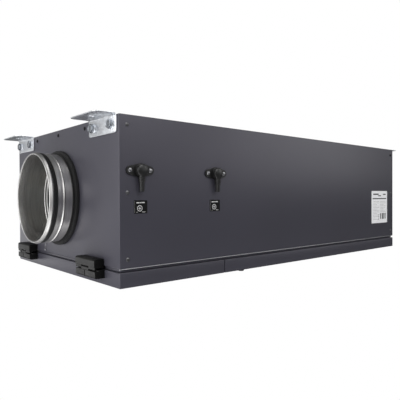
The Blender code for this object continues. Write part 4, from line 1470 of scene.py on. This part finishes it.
@dataclass
class HingePair:
    """Moulded block hinges: a leaf on the casing and a leaf on the lid, with barrels that interleave."""

    dresser: Dresser
    end: End
    parting: float = 0.004
    axis_in: float = 0.0032
    notch: float = 0.0042
    knuckle: float = 0.0026
    centre: float = 0.031
    play: float = 0.0005
    rounding: float = 0.004
    shift: float = 0.0026
    slit_width: float = 0.0024
    slit_depth: float = 0.0018

    def build(self) -> None:
        """Build both leaves on the near and the far side."""
        name = self.end.name.lower()
        door = Body.FILTER_DOOR if self.end is End.FRONT else Body.SERVICE_DOOR
        joint = frame["joints"][0 if self.end is End.FRONT else 1]
        pivot = Vector(joint["pos_m"])
        for side in ("near", "far"):
            self.build_leaf(name + "_" + side, "hinge_body_", Body.CASING, pivot, 1.0)
            self.build_leaf(name + "_" + side, "hinge_lid_", door, pivot, -1.0)

    def build_leaf(self, place: str, kind: str, body: Body, pivot: Vector, up: float) -> None:
        """One leaf with its barrels.

        Args:
            place: Which end and side it is on.
            kind: The start of the node's name.
            body: The body it rides on.
            pivot: A point on the hinge's axis.
            up: 1 for the leaf on the casing and -1 for the leaf on the lid.
        """
        node = kind + place
        low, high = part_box(node)
        away = -self.end.value
        wall = high.x if self.end is End.FRONT else low.x
        face = (wall - pivot.x) * -away
        tall = high.z - pivot.z if up > 0.0 else pivot.z - low.z
        start = self.parting / 2
        outer = -self.axis_in
        outline = [(face, start), (face, tall)]
        outline += arc((outer + self.rounding, tall - self.rounding), self.rounding, 90.0, 180.0, 6)
        outline += [(outer, self.notch), (self.notch, self.notch), (self.notch, start)]
        points = [(pivot.x - away * across, low.y, pivot.z + up * rise) for across, rise in outline]
        leaf = Bench.prism(kind + "block_" + place, points, (0.0, high.y - low.y, 0.0))
        middle = (low.y + high.y) / 2 + (0.0 if up > 0.0 else self.shift)
        half = self.centre / 2
        if up > 0.0:
            spans = ((low.y, middle - half - self.play), (middle + half + self.play, high.y))
        else:
            spans = ((middle - half, middle + half),)
            foot = Vector((pivot.x + away * self.axis_in, middle, low.z))
            self.cut_slit(leaf, foot, high.z - low.z)
        for first, last in spans:
            neck = arc((0.0, 0.0), self.knuckle, 180.0, 360.0, 12)
            neck += [(self.knuckle, self.notch + 0.001), (-self.knuckle, self.notch + 0.001)]
            points = [(pivot.x - away * across, first, pivot.z + up * rise) for across, rise in neck]
            Bench.carve(leaf, Bench.prism("barrel", points, (0.0, last - first, 0.0)), "UNION")
        Bench.soften(leaf, 0.0007, 2, 40.0)
        # The outer faces take the lighter nylon copy: painted light.
        self.dresser.share(leaf, 1, lambda _, normal: normal.x * away > 0.95)
        self.dresser.piece(leaf, (Paint.NYLON, Paint.NYLON_FACE_PAINTED_LIGHT), "black_nylon", [node], body, 35.0)

    def cut_slit(self, leaf: Item, foot: Vector, tall: float) -> None:
        """Cut the upright slit in the outer face of the lid leaf."""
        half, past = Vector((self.slit_depth, self.slit_width / 2, 0.0)), AXIS_Z * 0.001
        Bench.carve(leaf, Bench.box("slit", foot - half - past, foot + half + past + AXIS_Z * tall))


@dataclass
class CableElbow:
    """A flanged cable elbow with a domed body, a stepped spout and two slotted screws."""

    dresser: Dresser
    node: str
    plate: float = 0.003
    ear_pitch: float = 0.045
    ear_radius: float = 0.0080
    body_radius: float = 0.0135
    dome_radius: float = 0.0122
    spout_radius: float = 0.0066
    spout_cover: float = 0.0008
    tip_radius: float = 0.0048
    shoulder: float = 0.022
    drop: float = 0.040
    screw_radius: float = 0.0041
    screw_height: float = 0.0022

    def build(self) -> None:
        """Build the elbow, then its screws."""
        low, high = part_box(self.node)
        wall = high.y
        centre = Vector(((low.x + high.x) / 2, wall, low.z + self.drop))
        proud = high.y - low.y
        flange = self.flange(centre)
        dome = self.dome(centre, proud)
        spout_y = low.y + self.spout_radius + self.spout_cover
        spout = self.spout(Vector((centre.x, spout_y, centre.z)))
        Bench.carve(flange, dome, "UNION")
        Bench.carve(flange, spout, "UNION")
        Bench.soften(flange, 0.0004, 2, 40.0)
        flange.name = self.node + "_moulding"
        self.dresser.piece(flange, Paint.GLAND, "black_nylon", [self.node], angle=35.0)
        screw = self.screw(centre)
        half = self.ear_pitch / 2
        item = Bench.spread(screw, self.node + "_screws", [(-half, 0.0, 0.0), (half, 0.0, 0.0)])
        self.dresser.piece(item, Paint.SCREW)

    def flange(self, centre: Vector) -> Item:
        """The plate with two ears.

        Args:
            centre: The middle of the elbow on the wall.

        Returns:
            The plate.
        """
        body, ear, half = self.body_radius, self.ear_radius, self.ear_pitch / 2
        lean = math.degrees(math.asin((body - ear) / half))
        outline = arc((half, 0.0), ear, -90.0 + lean, 90.0 - lean, 14)
        outline += arc((0.0, 0.0), body, 90.0 - lean, 90.0 + lean, 6)
        outline += arc((-half, 0.0), ear, 90.0 + lean, 270.0 - lean, 14)
        outline += arc((0.0, 0.0), body, 270.0 - lean, 270.0 + lean, 6)
        points = [(centre.x + across, centre.y, centre.z + up) for across, up in outline]
        return Bench.prism("flange", points, (0.0, -self.plate, 0.0))

    def dome(self, centre: Vector, proud: float) -> Item:
        """The round body with its domed cap and a fine step round it.

        Args:
            centre: The middle of the elbow on the wall.
            proud: How far it stands out.

        Returns:
            The body.
        """
        body = self.dome_radius
        crown = body / 3
        shoulder = proud - crown
        profile = [(0.0006, 0.0), (0.0006, body), (self.plate + 0.0035, body)]
        profile += [(self.plate + 0.0038, body - 0.0005), (self.plate + 0.0044, body - 0.0005)]
        profile += [(self.plate + 0.0047, body), (shoulder, body)]
        for step in range(1, 8):
            angle = math.radians(90.0 * step / 8)
            profile.append((shoulder + crown * math.sin(angle), body * math.cos(angle)))
        profile.append((proud, 0.0))
        return Bench.turned("dome", profile, centre, -AXIS_Y, AXIS_Z, 48)

    def spout(self, top: Vector) -> Item:
        """The spout with a grip ring, a narrower tip and a blanking plug.

        Args:
            top: The top end of its axis.

        Returns:
            The spout.
        """
        wide, tip, shoulder, drop = self.spout_radius, self.tip_radius, self.shoulder, self.drop
        profile = [(0.0, 0.0), (0.0, wide - 0.0004), (0.0135, wide - 0.0004), (0.0140, wide)]
        profile += [(shoulder - 0.0042, wide), (shoulder - 0.0038, wide - 0.0007)]
        profile += [(shoulder - 0.0032, wide - 0.0007), (shoulder - 0.0028, wide)]
        profile += [(shoulder - 0.0006, wide), (shoulder, wide - 0.0006), (shoulder, tip)]
        profile += [(drop - 0.0030, tip), (drop - 0.0028, tip - 0.0004)]
        profile += [(drop - 0.0022, tip - 0.0004), (drop - 0.0020, tip)]
        profile += [(drop - 0.0004, tip), (drop, tip - 0.0005), (drop, 0.0)]
        return Bench.turned("spout", profile, top, -AXIS_Z, AXIS_X, 36)

    def screw(self, centre: Vector) -> Item:
        """A pan head screw with a level slot.

        Args:
            centre: The middle of the elbow on the wall.

        Returns:
            The screw, in the middle of the elbow.
        """
        radius, height = self.screw_radius, self.screw_height
        start = centre.y - self.plate
        profile = [(-0.0004, 0.0), (-0.0004, radius), (height * 0.30, radius)]
        profile += [(height * 0.70, radius * 0.84), (height * 0.95, radius * 0.50), (height, 0.0)]
        screw = Bench.turned("screw", profile, (centre.x, start, centre.z), -AXIS_Y, AXIS_Z, 28)
        deep = start - height
        half = Vector((radius * 1.2, 0.0, radius * 0.19))
        low = Vector((centre.x, deep - 0.001, centre.z)) - half
        high = Vector((centre.x, deep + height * 0.6, centre.z)) + half
        Bench.carve(screw, Bench.box("slot", low, high))
        return screw


@dataclass
class Labels:
    """Three plain labels on the service side: two small black ones and a white one, with generic marks."""

    dresser: Dresser
    sheet: float = 0.0004
    print_sheet: float = 0.00012
    corner: float = 0.0018
    front_spot: tuple[float, float] = (0.0305, 0.1380)
    rear_spot: tuple[float, float] = (0.2205, 0.1375)
    large_spot: tuple[float, float] = (0.9055, 0.0815)
    small_size: tuple[float, float] = (0.0300, 0.0250)
    large_size: tuple[float, float] = (0.1000, 0.1030)
    ring_radii: tuple[float, float] = (0.0046, 0.0058)
    ring_place: tuple[float, float] = (0.0129, 0.0098)
    cross_bar: tuple[float, float] = (0.0012, 0.0060)
    rows: int = 13
    row_pitch: float = 0.0048

    def build(self) -> None:
        """Place the labels on the near side panel."""
        low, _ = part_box("near_side_panel")
        front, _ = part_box("front_panel")
        self.origin = Vector((front.x, low.y, LATCH_PLANE))
        self.small("front", self.front_spot)
        self.small("rear", self.rear_spot)
        self.large(self.large_spot)

    def bars(self, spot: Place, table: Sequence[Place]) -> list[Item]:
        """The printed bars of a label.

        Args:
            spot: The label's lower left corner, along from the inlet end and up.
            table: For each bar, its lower left corner on the label, its width and its height.

        Returns:
            The bars.
        """
        items = []
        for left, rise, wide, tall in table:
            along, up = spot[0] + left, spot[1] + rise
            start = self.origin + Vector((along, -self.sheet - self.print_sheet, up))
            end = self.origin + Vector((along + wide, -self.sheet * 0.5, up + tall))
            items.append(Bench.box("bar", start, end))
        return items

    def plate(self, name: str, spot: Place, size: Place, paint: Paint) -> None:
        """The film of a label with its round corners.

        Args:
            name: The name of the piece.
            spot: Its lower left corner, along from the inlet end and up.
            size: Its width and height.
            paint: Its finish.
        """
        corners = rounded(spot, (spot[0] + size[0], spot[1] + size[1]), self.corner)
        points = [self.origin + Vector((across, 0.0, high)) for across, high in corners]
        film = Bench.prism(name, points, (0.0, -self.sheet, 0.0))
        Bench.soften(film, 0.00012, 1, 60.0)
        self.dresser.piece(film, paint, "black_nylon" if paint is Paint.PLATE else "filter_media")

    def small(self, name: str, spot: Place) -> None:
        """A small black label with a bar over a ring.

        Args:
            name: Which of the two it is.
            spot: Its lower left corner, along from the inlet end and up.
        """
        tall = self.small_size[1]
        self.plate("small_label_" + name, spot, self.small_size, Paint.PLATE)
        bars = [(0.0055, tall - 0.0056, 0.0060, 0.0020), (0.0122, tall - 0.0052, 0.0040, 0.0016)]
        bars += [(0.0168, tall - 0.0052, 0.0070, 0.0020), (0.0055, 0.0024, 0.0030, 0.0006)]
        bars += [(0.0180, 0.0024, 0.0075, 0.0009), (0.0014, 0.0016, 0.0002, tall - 0.0032)]
        along, up = self.ring_place
        for size in (self.cross_bar, self.cross_bar[::-1]):
            bars.append((along - size[0] / 2, up - size[1] / 2, *size))
        inner, outer = self.ring_radii
        back, face = -self.sheet * 0.5, -self.sheet - self.print_sheet
        profile = [(back, inner), (face, inner), (face, outer), (back, outer)]
        centre = self.origin + Vector((spot[0] + along, 0.0, spot[1] + up))
        marks = [Bench.turned("ring", profile, centre, AXIS_Y, AXIS_Z, 40, closed=True), *self.bars(spot, bars)]
        item = Bench.join("small_label_marks_" + name, marks)
        self.dresser.piece(item, Paint.MARK, "filter_media")

    def large(self, spot: Place) -> None:
        """The white label with plain grey bars and a block of upright bars.

        Args:
            spot: Its lower left corner, along from the inlet end and up.
        """
        wide, tall = self.large_size
        self.plate("white_label", spot, self.large_size, Paint.LABEL)
        bars = [(0.006, tall - 0.0262, wide - 0.012, 0.0034), (0.010, tall - 0.0125, 0.034, 0.0040)]
        bars += [(0.042, tall - 0.0168, 0.018, 0.0030), (0.072, tall - 0.0125, 0.018, 0.0034)]
        for row in range(self.rows):
            long = 0.024 if row % 3 == 2 else 0.038
            rise = 0.069 - row * self.row_pitch
            bars.append((0.010, rise, long, 0.0005))
            if row < 8:
                bars.append((0.054, rise, long * 0.95, 0.0005))
        bars += [(0.041, 0.012 + row * 0.0065, 0.006, 0.0016) for row in range(3)]
        left = 0.0545
        uprights = ((30, 10), (24, 60), (30, 9), (34, 10), (26, 50), (30, 12), (26, 0))
        for thick, gap in uprights:
            bars.append((left, 0.0125, thick * 0.0001, 0.0190))
            left += (thick + gap) * 0.0001
        item = Bench.join("white_label_marks", self.bars(spot, bars))
        self.dresser.piece(item, Paint.PRINT, "graphite_paint")


@dataclass
class FilterStage:
    """The pleated filter in its card frame, between two zinc rails."""

    dresser: Dresser
    frame_width: float = 0.014
    pleats: int = 26
    media: float = 0.0016

    def build(self) -> None:
        """Build the frame and the pleats, and finish the rails."""
        low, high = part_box("filter_cassette")
        rim = self.frame_width
        card = Bench.open_box("filter_frame", low, high, rim)
        Bench.soften(card, 0.0006)
        self.dresser.piece(card, Paint.CARD, "filter_media", ["filter_cassette"])
        start, end = low.y + rim * 0.5, high.y - rim * 0.5
        reach = (high.x - low.x) / 2 - 0.004
        middle = (low.x + high.x) / 2
        count = 2 * self.pleats
        forward = []
        for step in range(count + 1):
            across = start + (end - start) * step / count
            forward.append((middle + (reach if step % 2 else -reach), across))
        back = [(along + self.media, across) for along, across in reversed(forward)]
        points = [(along, across, low.z + rim * 0.5) for along, across in forward + back]
        media = Bench.prism("filter_pleats", points, (0.0, 0.0, high.z - low.z - rim))
        self.dresser.piece(media, Paint.FLEECE, "filter_media")
        for side in ("near", "far"):
            self.dresser.keep("filter_rail_" + side, Paint.LINER)


@dataclass
class FanStage:
    """The bulkhead, the nozzle, the backward curved wheel, its motor and the mount."""

    dresser: Dresser
    nozzle_mouth: float = 0.086
    nozzle_throat: float = 0.060
    nozzle_sheet: float = 0.0020
    wheel_sheet: float = 0.0025
    eye: float = 0.066
    outlet: float = 0.044
    blades: int = 7
    sweep: float = 48.0
    blade_sheet: float = 0.0020
    fin: float = 0.004
    steps: int = 96

    def build(self) -> None:
        """Build the turned pieces and finish the plates."""
        self.axis = middle_of("fan_impeller")
        self.build_nozzle()
        self.build_wheel()
        self.build_motor()
        self.dresser.keep("fan_bulkhead", Paint.LINER)
        self.dresser.keep("fan_motor_mount", Paint.LINER)

    def turned(self, name: str, profile: Profile, closed: bool = True) -> Item:
        """Spin a profile of (x, radius) points about the fan's axis."""
        foot = (0.0, self.axis.y, self.axis.z)
        return Bench.turned(name, profile, foot, AXIS_X, AXIS_Z, self.steps, closed)

    def build_nozzle(self) -> None:
        """The inlet nozzle, a flange with a quarter round bell."""
        low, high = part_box("fan_nozzle")
        sheet = self.nozzle_sheet
        deep = high.x - low.x
        flange = (high.z - low.z) / 2
        outer, inner = [], []
        for step in range(13):
            angle = math.radians(90.0 * step / 12)
            along = deep * (1.0 - math.cos(angle))
            radius = self.nozzle_mouth - (self.nozzle_mouth - self.nozzle_throat) * math.sin(angle)
            inner.append((low.x + along, radius))
            if along > sheet:
                outer.append((low.x + along, radius + sheet))
        profile = [(low.x, flange), (low.x + sheet, flange), (low.x + sheet, outer[0][1] + 0.001)]
        item = self.turned("fan_inlet_nozzle", profile + outer + list(reversed(inner)))
        Bench.soften(item, 0.0003)
        self.dresser.piece(item, Paint.LINER, "galvanised_steel", ["fan_nozzle"])

    def build_wheel(self) -> None:
        """The wheel: back plate, cone shroud and blades as one moulding."""
        low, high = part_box("fan_impeller")
        sheet = self.wheel_sheet
        wide = high.x - low.x
        rim = (high.z - low.z) / 2
        front = wide - self.outlet
        hub = (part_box("fan_motor")[1].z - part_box("fan_motor")[0].z) / 2 + 0.0003
        plate = [(high.x - sheet, hub), (high.x - sheet, rim), (high.x, rim), (high.x, hub)]
        back = self.turned("fan_wheel", plate)
        eye, bend = self.eye, low.x + front * 0.45
        cone = [(low.x, eye), (low.x, eye + sheet), (bend, eye + sheet * 1.6), (low.x + front, rim)]
        cone += [(low.x + front + sheet, rim), (bend + sheet, eye + sheet * 0.4), (low.x + sheet, eye)]
        shroud = self.turned("shroud", cone)
        last = high.x - sheet / 2
        blades = [self.blade(number, low.x, last, hub, rim, front) for number in range(self.blades)]
        Bench.carve(back, Bench.join("blades", blades), "UNION")
        Bench.carve(back, shroud, "UNION")
        self.dresser.piece(back, Paint.WHEEL, "black_nylon", ["fan_impeller"])

    def blade(self, number: int, first: float, last: float, hub: float, rim: float, front: float) -> Item:
        """One backward curved blade, trimmed to the cone of the shroud.

        Args:
            number: Which blade it is.
            first: The front plane of the wheel.
            last: How far back the blade reaches.
            hub: The radius of the hub.
            rim: The radius of the wheel.
            front: The depth of the cone.

        Returns:
            The blade.
        """
        turn = math.tau * number / self.blades
        start, end = hub + 0.004, rim - 0.001
        steps = 14
        line = []
        for step in range(steps + 1):
            share = step / steps
            radius = start + (end - start) * share
            angle = turn + math.radians(self.sweep) * share**1.2
            line.append(Vector((radius * math.cos(angle), radius * math.sin(angle))))
        left, right = [], []
        for index, point in enumerate(line):
            run = (line[min(index + 1, steps)] - line[max(index - 1, 0)]).normalized()
            aside = Vector((-run.y, run.x)) * self.blade_sheet / 2
            left.append(point + aside)
            right.append(point - aside)
        points = [(first, self.axis.y + point.x, self.axis.z + point.y) for point in left + right[::-1]]
        item = Bench.prism("blade", points, (last - first, 0.0, 0.0))
        eye = self.eye + self.wheel_sheet
        for corner in item.data.vertices:
            if abs(corner.co.x - first) < 0.0001:
                radius = math.hypot(corner.co.y - self.axis.y, corner.co.z - self.axis.z)
                share = max(radius - eye, 0.0) / (rim - eye)
                corner.co.x = first + front * (0.45 + 0.55 * share) + self.wheel_sheet / 2
        return item

    def build_motor(self) -> None:
        """The external rotor motor with its cooling grooves."""
        low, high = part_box("fan_motor")
        radius = (high.z - low.z) / 2
        long = high.x - low.x
        profile = [(low.x, 0.0), (low.x, radius * 0.30), (low.x + 0.0012, radius * 0.34)]
        profile += [(low.x + 0.0012, radius * 0.78), (low.x, radius * 0.82), (low.x, radius - self.fin)]
        profile += [(low.x + self.fin / 4, radius - self.fin / 4), (low.x + self.fin / 2, radius)]
        start = low.x + long * 0.62
        for number in range(5):
            place = start + (high.x - start) * (number + 0.25) / 5
            wide = (high.x - start) / 5 * 0.5
            profile += [(place, radius), (place, radius - self.fin)]
            profile += [(place + wide, radius - self.fin), (place + wide, radius)]
        profile += [(high.x, radius), (high.x, 0.0)]
        item = self.turned("fan_rotor_motor", profile, closed=False)
        Bench.soften(item, 0.0003, 1)
        self.dresser.piece(item, Paint.MOTOR, "motor_casting", ["fan_motor"])


@dataclass
class HeaterStage:
    """The electric heater: a folded frame with rows of tubular elements."""

    dresser: Dresser
    rim: float = 0.018
    rod_radius: float = 0.0042
    rows: int = 3
    columns: int = 6

    def build(self) -> None:
        """Build the frame and its elements."""
        low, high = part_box("heater")
        rim = self.rim
        box = Bench.open_box("heater_frame", low, high, rim)
        Bench.soften(box, 0.0007)
        self.dresser.piece(box, Paint.LINER, "galvanised_steel", ["heater"])
        rods = []
        for row in range(self.rows):
            for column in range(self.columns):
                along = low.x + (high.x - low.x) * (row + 0.5) / self.rows
                up = low.z + rim + (high.z - low.z - 2 * rim) * (column + 0.5) / self.columns
                rods.append((along, 0.0, up))
        middle = (low.y + high.y) / 2
        reach = (high.y - low.y) / 2 - rim
        radius = self.rod_radius
        profile = [(-reach - 0.001, 0.0), (-reach - 0.001, radius * 1.6), (-reach + 0.004, radius * 1.6)]
        profile += [(-reach + 0.005, radius), (reach - 0.005, radius)]
        profile += [(reach - 0.004, radius * 1.6), (reach + 0.001, radius * 1.6), (reach + 0.001, 0.0)]
        rod = Bench.turned("rod", profile, (0.0, middle, 0.0), AXIS_Y, AXIS_Z, 20)
        item = Bench.spread(rod, "heater_elements", rods)
        self.dresser.piece(item, Paint.BOLT)


@dataclass
class ControlBox:
    """The control box inside, with its lipped cover, cover screws and two cable glands."""

    dresser: Dresser
    lip: float = 0.004
    cover: float = 0.012
    recess_in: float = 0.010
    recess: float = 0.0012
    gland_places: tuple[float, float] = (0.040, 0.075)
    screw_inset: float = 0.006
    screw_radius: float = 0.0032
    gland: float = 0.009

    def build(self) -> None:
        """Build the box with its cover, the screws and the glands."""
        low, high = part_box("control_box")
        base_low = low + Vector((self.lip, 0.0, self.lip))
        base_high = high - Vector((self.lip, self.cover / 2, self.lip))
        box = Bench.box("control_box_body", base_low, base_high)
        cover = Bench.box("cover", (low.x, high.y - self.cover, low.z), high)
        Bench.edit(cover, everything=False)
        Bench.pick_faces(cover, lambda _, normal: normal.y > 0.9)
        bpy.ops.mesh.inset(thickness=self.recess_in)
        bpy.ops.transform.translate(value=(0.0, -self.recess, 0.0))
        Bench.leave()
        Bench.carve(box, cover, "UNION")
        Bench.soften(box, 0.0008, 2, 30.0)
        self.dresser.piece(box, Paint.CASING, "galvanised_steel", ["control_box"])
        face, inset = high.y, self.screw_inset
        places = [(x, face, z) for x in (low.x + inset, high.x - inset) for z in (low.z + inset, high.z - inset)]
        radius = self.screw_radius
        profile = [(-0.0004, 0.0), (-0.0004, radius), (0.0008, radius), (0.0017, radius * 0.7), (0.0021, 0.0)]
        head = Bench.turned("head", profile, (0.0, -0.0022, 0.0), AXIS_Y, AXIS_Z, 24)
        Bench.carve(head, Bench.box("slot", (-radius * 1.2, -0.0014, -0.0005), (radius * 1.2, 0.001, 0.0005)))
        screws = Bench.spread(head, "control_box_screws", places)
        self.dresser.piece(screws, Paint.SCREW)
        wide = self.gland
        profile = [(0.0, 0.0), (0.0, wide), (0.004, wide), (0.0048, wide * 0.80)]
        profile += [(0.009, wide * 0.80), (0.012, wide * 0.62), (0.012, 0.0)]
        across = (base_low.y + base_high.y) / 2
        gland = Bench.turned("gland", profile, AXIS_Z * 0.0003, -AXIS_Z, AXIS_X, 32)
        spots = [(low.x + along, across, base_low.z) for along in self.gland_places]
        glands = Bench.spread(gland, "control_box_glands", spots)
        self.dresser.piece(glands, Paint.GLAND, "black_nylon")


@dataclass
class Studio:
    """The pale floor, the soft lights and the camera."""

    lens: float = 39.69
    place: Point = (-0.9334, -0.97275, 0.1744)
    yaw: float = 0.7055
    pitch: float = -0.0087
    roll: float = -0.0044
    floor_z: float = -0.90

    def build(self) -> None:
        """Set the floor, the lights, the sky and the camera."""
        bpy.context.scene.view_settings.view_transform = "Standard"
        self.build_floor()
        self.build_sky()
        self.build_lights()
        self.build_camera()

    def build_floor(self) -> None:
        """A wide plain floor, well below the open lids."""
        bpy.ops.mesh.primitive_plane_add(size=60.0, location=(0.0, 0.0, self.floor_z))
        floor = bpy.context.object
        floor.name = "studio_floor"
        material = bpy.data.materials.new("pale_floor")
        material.use_nodes = True
        nodes = Nodes(material.node_tree)
        shader = material.node_tree.nodes["Principled BSDF"]
        shader.inputs["Base Color"].default_value = (0.42, 0.42, 0.43, 1.0)
        shader.inputs["Roughness"].default_value = 0.9
        seen = nodes.add("LightPath").outputs["Is Camera Ray"]
        white = nodes.add("Emission", {"Color": WHITE, "Strength": 1.0}).outputs[0]
        mixed = nodes.add("MixShader", {0: seen, 1: shader.outputs[0], 2: white})
        end = material.node_tree.nodes["Material Output"]
        nodes.link(mixed.outputs[0], end, "Surface")
        floor.data.materials.append(material)

    def build_sky(self) -> None:
        """A white surround for the eye, and a soft grey one for the light."""
        world = bpy.data.worlds.new("studio")
        bpy.context.scene.world = world
        world.use_nodes = True
        nodes = Nodes(world.node_tree)
        soft = world.node_tree.nodes["Background"]
        soft.inputs["Color"].default_value = (0.96, 0.98, 1.0, 1.0)
        soft.inputs["Strength"].default_value = 0.122
        white = nodes.add("Background", {"Color": WHITE, "Strength": 1.0})
        seen = nodes.add("LightPath").outputs["Is Camera Ray"]
        mixed = nodes.add("MixShader", {0: seen, 1: soft.outputs[0], 2: white.outputs[0]})
        end = world.node_tree.nodes["World Output"]
        nodes.link(mixed.outputs[0], end, "Surface")

    def light(self, name: str, place: Point, aim: Point, size: tuple[float, float], power: float) -> None:
        """One soft box.

        Args:
            name: The name of the light.
            place: Where it stands.
            aim: The point it faces.
            size: Its width and height.
            power: Its power, in watts.
        """
        data = bpy.data.lights.new(name, "AREA")
        data.shape = "RECTANGLE"
        data.size, data.size_y = size
        data.energy = power
        item = bpy.data.objects.new(name, data)
        bpy.context.scene.collection.objects.link(item)
        item.location = place
        item.rotation_euler = (Vector(aim) - Vector(place)).to_track_quat("-Z", "Y").to_euler()
        item.visible_camera = False

    def build_lights(self) -> None:
        """A key light on the inlet end, a tall one that shines along the long side, and a light from above."""
        self.light("end_key", (-3.0, 0.3, 0.8), (-0.5, 0.0, 0.15), (2.5, 2.5), 62.5)
        self.light("end_behind", (-2.0, 3.2, 1.0), (-0.5, 0.0, 0.15), (3.5, 3.0), 12.7)
        self.light("end_behind_low", (-2.0, 3.2, -0.4), (-0.5, 0.0, 0.15), (3.5, 0.8), 7.9)
        self.light("end_low", (-2.6, -0.4, -0.4), (-0.5, 0.0, 0.15), (1.6, 0.8), 6.5)
        self.light("floor_card", (-1.4, -0.3, -0.85), (-1.4, -0.3, 1.0), (1.4, 2.4), 13.3)
        self.light("duct_below", (-0.62, -0.45, -0.85), (-0.62, -0.45, 1.0), (0.4, 0.6), 2.6)
        self.light("duct_above", (-0.62, -0.35, 1.60), (-0.62, -0.35, 0.0), (0.4, 0.8), 4.2)
        self.light("corner_fill", (-2.2, -2.6, 1.2), (-0.2, -0.1, 0.15), (2.0, 2.0), 22.2)
        self.light("front_upper", (0.0, -3.0, 2.8), (0.0, 0.0, 0.15), (2.5, 2.0), 63.0)
        self.light("side_upper", (3.8, -3.0, 2.6), (0.2, -0.2, 0.15), (3.0, 2.0), 36.0)
        self.light("side_low", (4.2, -3.2, 1.1), (0.2, -0.2, 0.15), (3.0, 1.2), 16.3)
        self.light("side_middle", (1.8, -4.0, 1.2), (0.0, -0.2, 0.15), (3.0, 1.2), 11.0)

    def build_camera(self) -> None:
        """The camera at the photo's place, with its lens."""
        data = bpy.data.cameras.new("view")
        camera = bpy.data.objects.new("view", data)
        bpy.context.scene.collection.objects.link(camera)
        data.sensor_width = 36.0
        data.lens = self.lens
        data.clip_start, data.clip_end = 0.05, 200.0
        flat = math.cos(self.pitch)
        forward = Vector((math.sin(self.yaw) * flat, math.cos(self.yaw) * flat, math.sin(self.pitch)))
        level = Vector((math.cos(self.yaw), -math.sin(self.yaw), 0.0))
        above = level.cross(forward)
        right = math.cos(self.roll) * level + math.sin(self.roll) * above
        up = math.cos(self.roll) * above - math.sin(self.roll) * level
        turn = Matrix((right, up, -forward)).transposed()
        camera.matrix_world = Matrix.Translation(self.place) @ turn.to_4x4()
        bpy.context.scene.camera = camera


def main() -> None:
    """Build the sub-assemblies in order."""
    logging.basicConfig(level=logging.INFO, format="%(name)s %(message)s")
    dresser = Dresser()
    Casing(dresser).build()
    for node, body in (("filter_lid", Body.FILTER_DOOR), ("service_lid", Body.SERVICE_DOOR)):
        Lid(dresser, node, body).build()
    Latch(dresser, "filter_latch", Body.FILTER_DOOR).build()
    for node in ("service_latch_near", "service_latch_far"):
        Latch(dresser, node, Body.SERVICE_DOOR).build()
    for name, end in (("inlet", End.FRONT), ("outlet", End.REAR)):
        DuctConnection(dresser, name, end).build()
    for corner in ("front_near", "front_far", "rear_near", "rear_far"):
        HangingBracket(dresser, corner).build()
    for end in End:
        HingePair(dresser, end).build()
    for node in ("cable_elbow_front", "cable_elbow_rear"):
        CableElbow(dresser, node).build()
    for kind in (Labels, FilterStage, FanStage, HeaterStage, ControlBox):
        kind(dresser).build()
    Studio().build()
    LOG.info("%d pieces dressed", dresser.count)


if __name__ == "__main__":
    main()
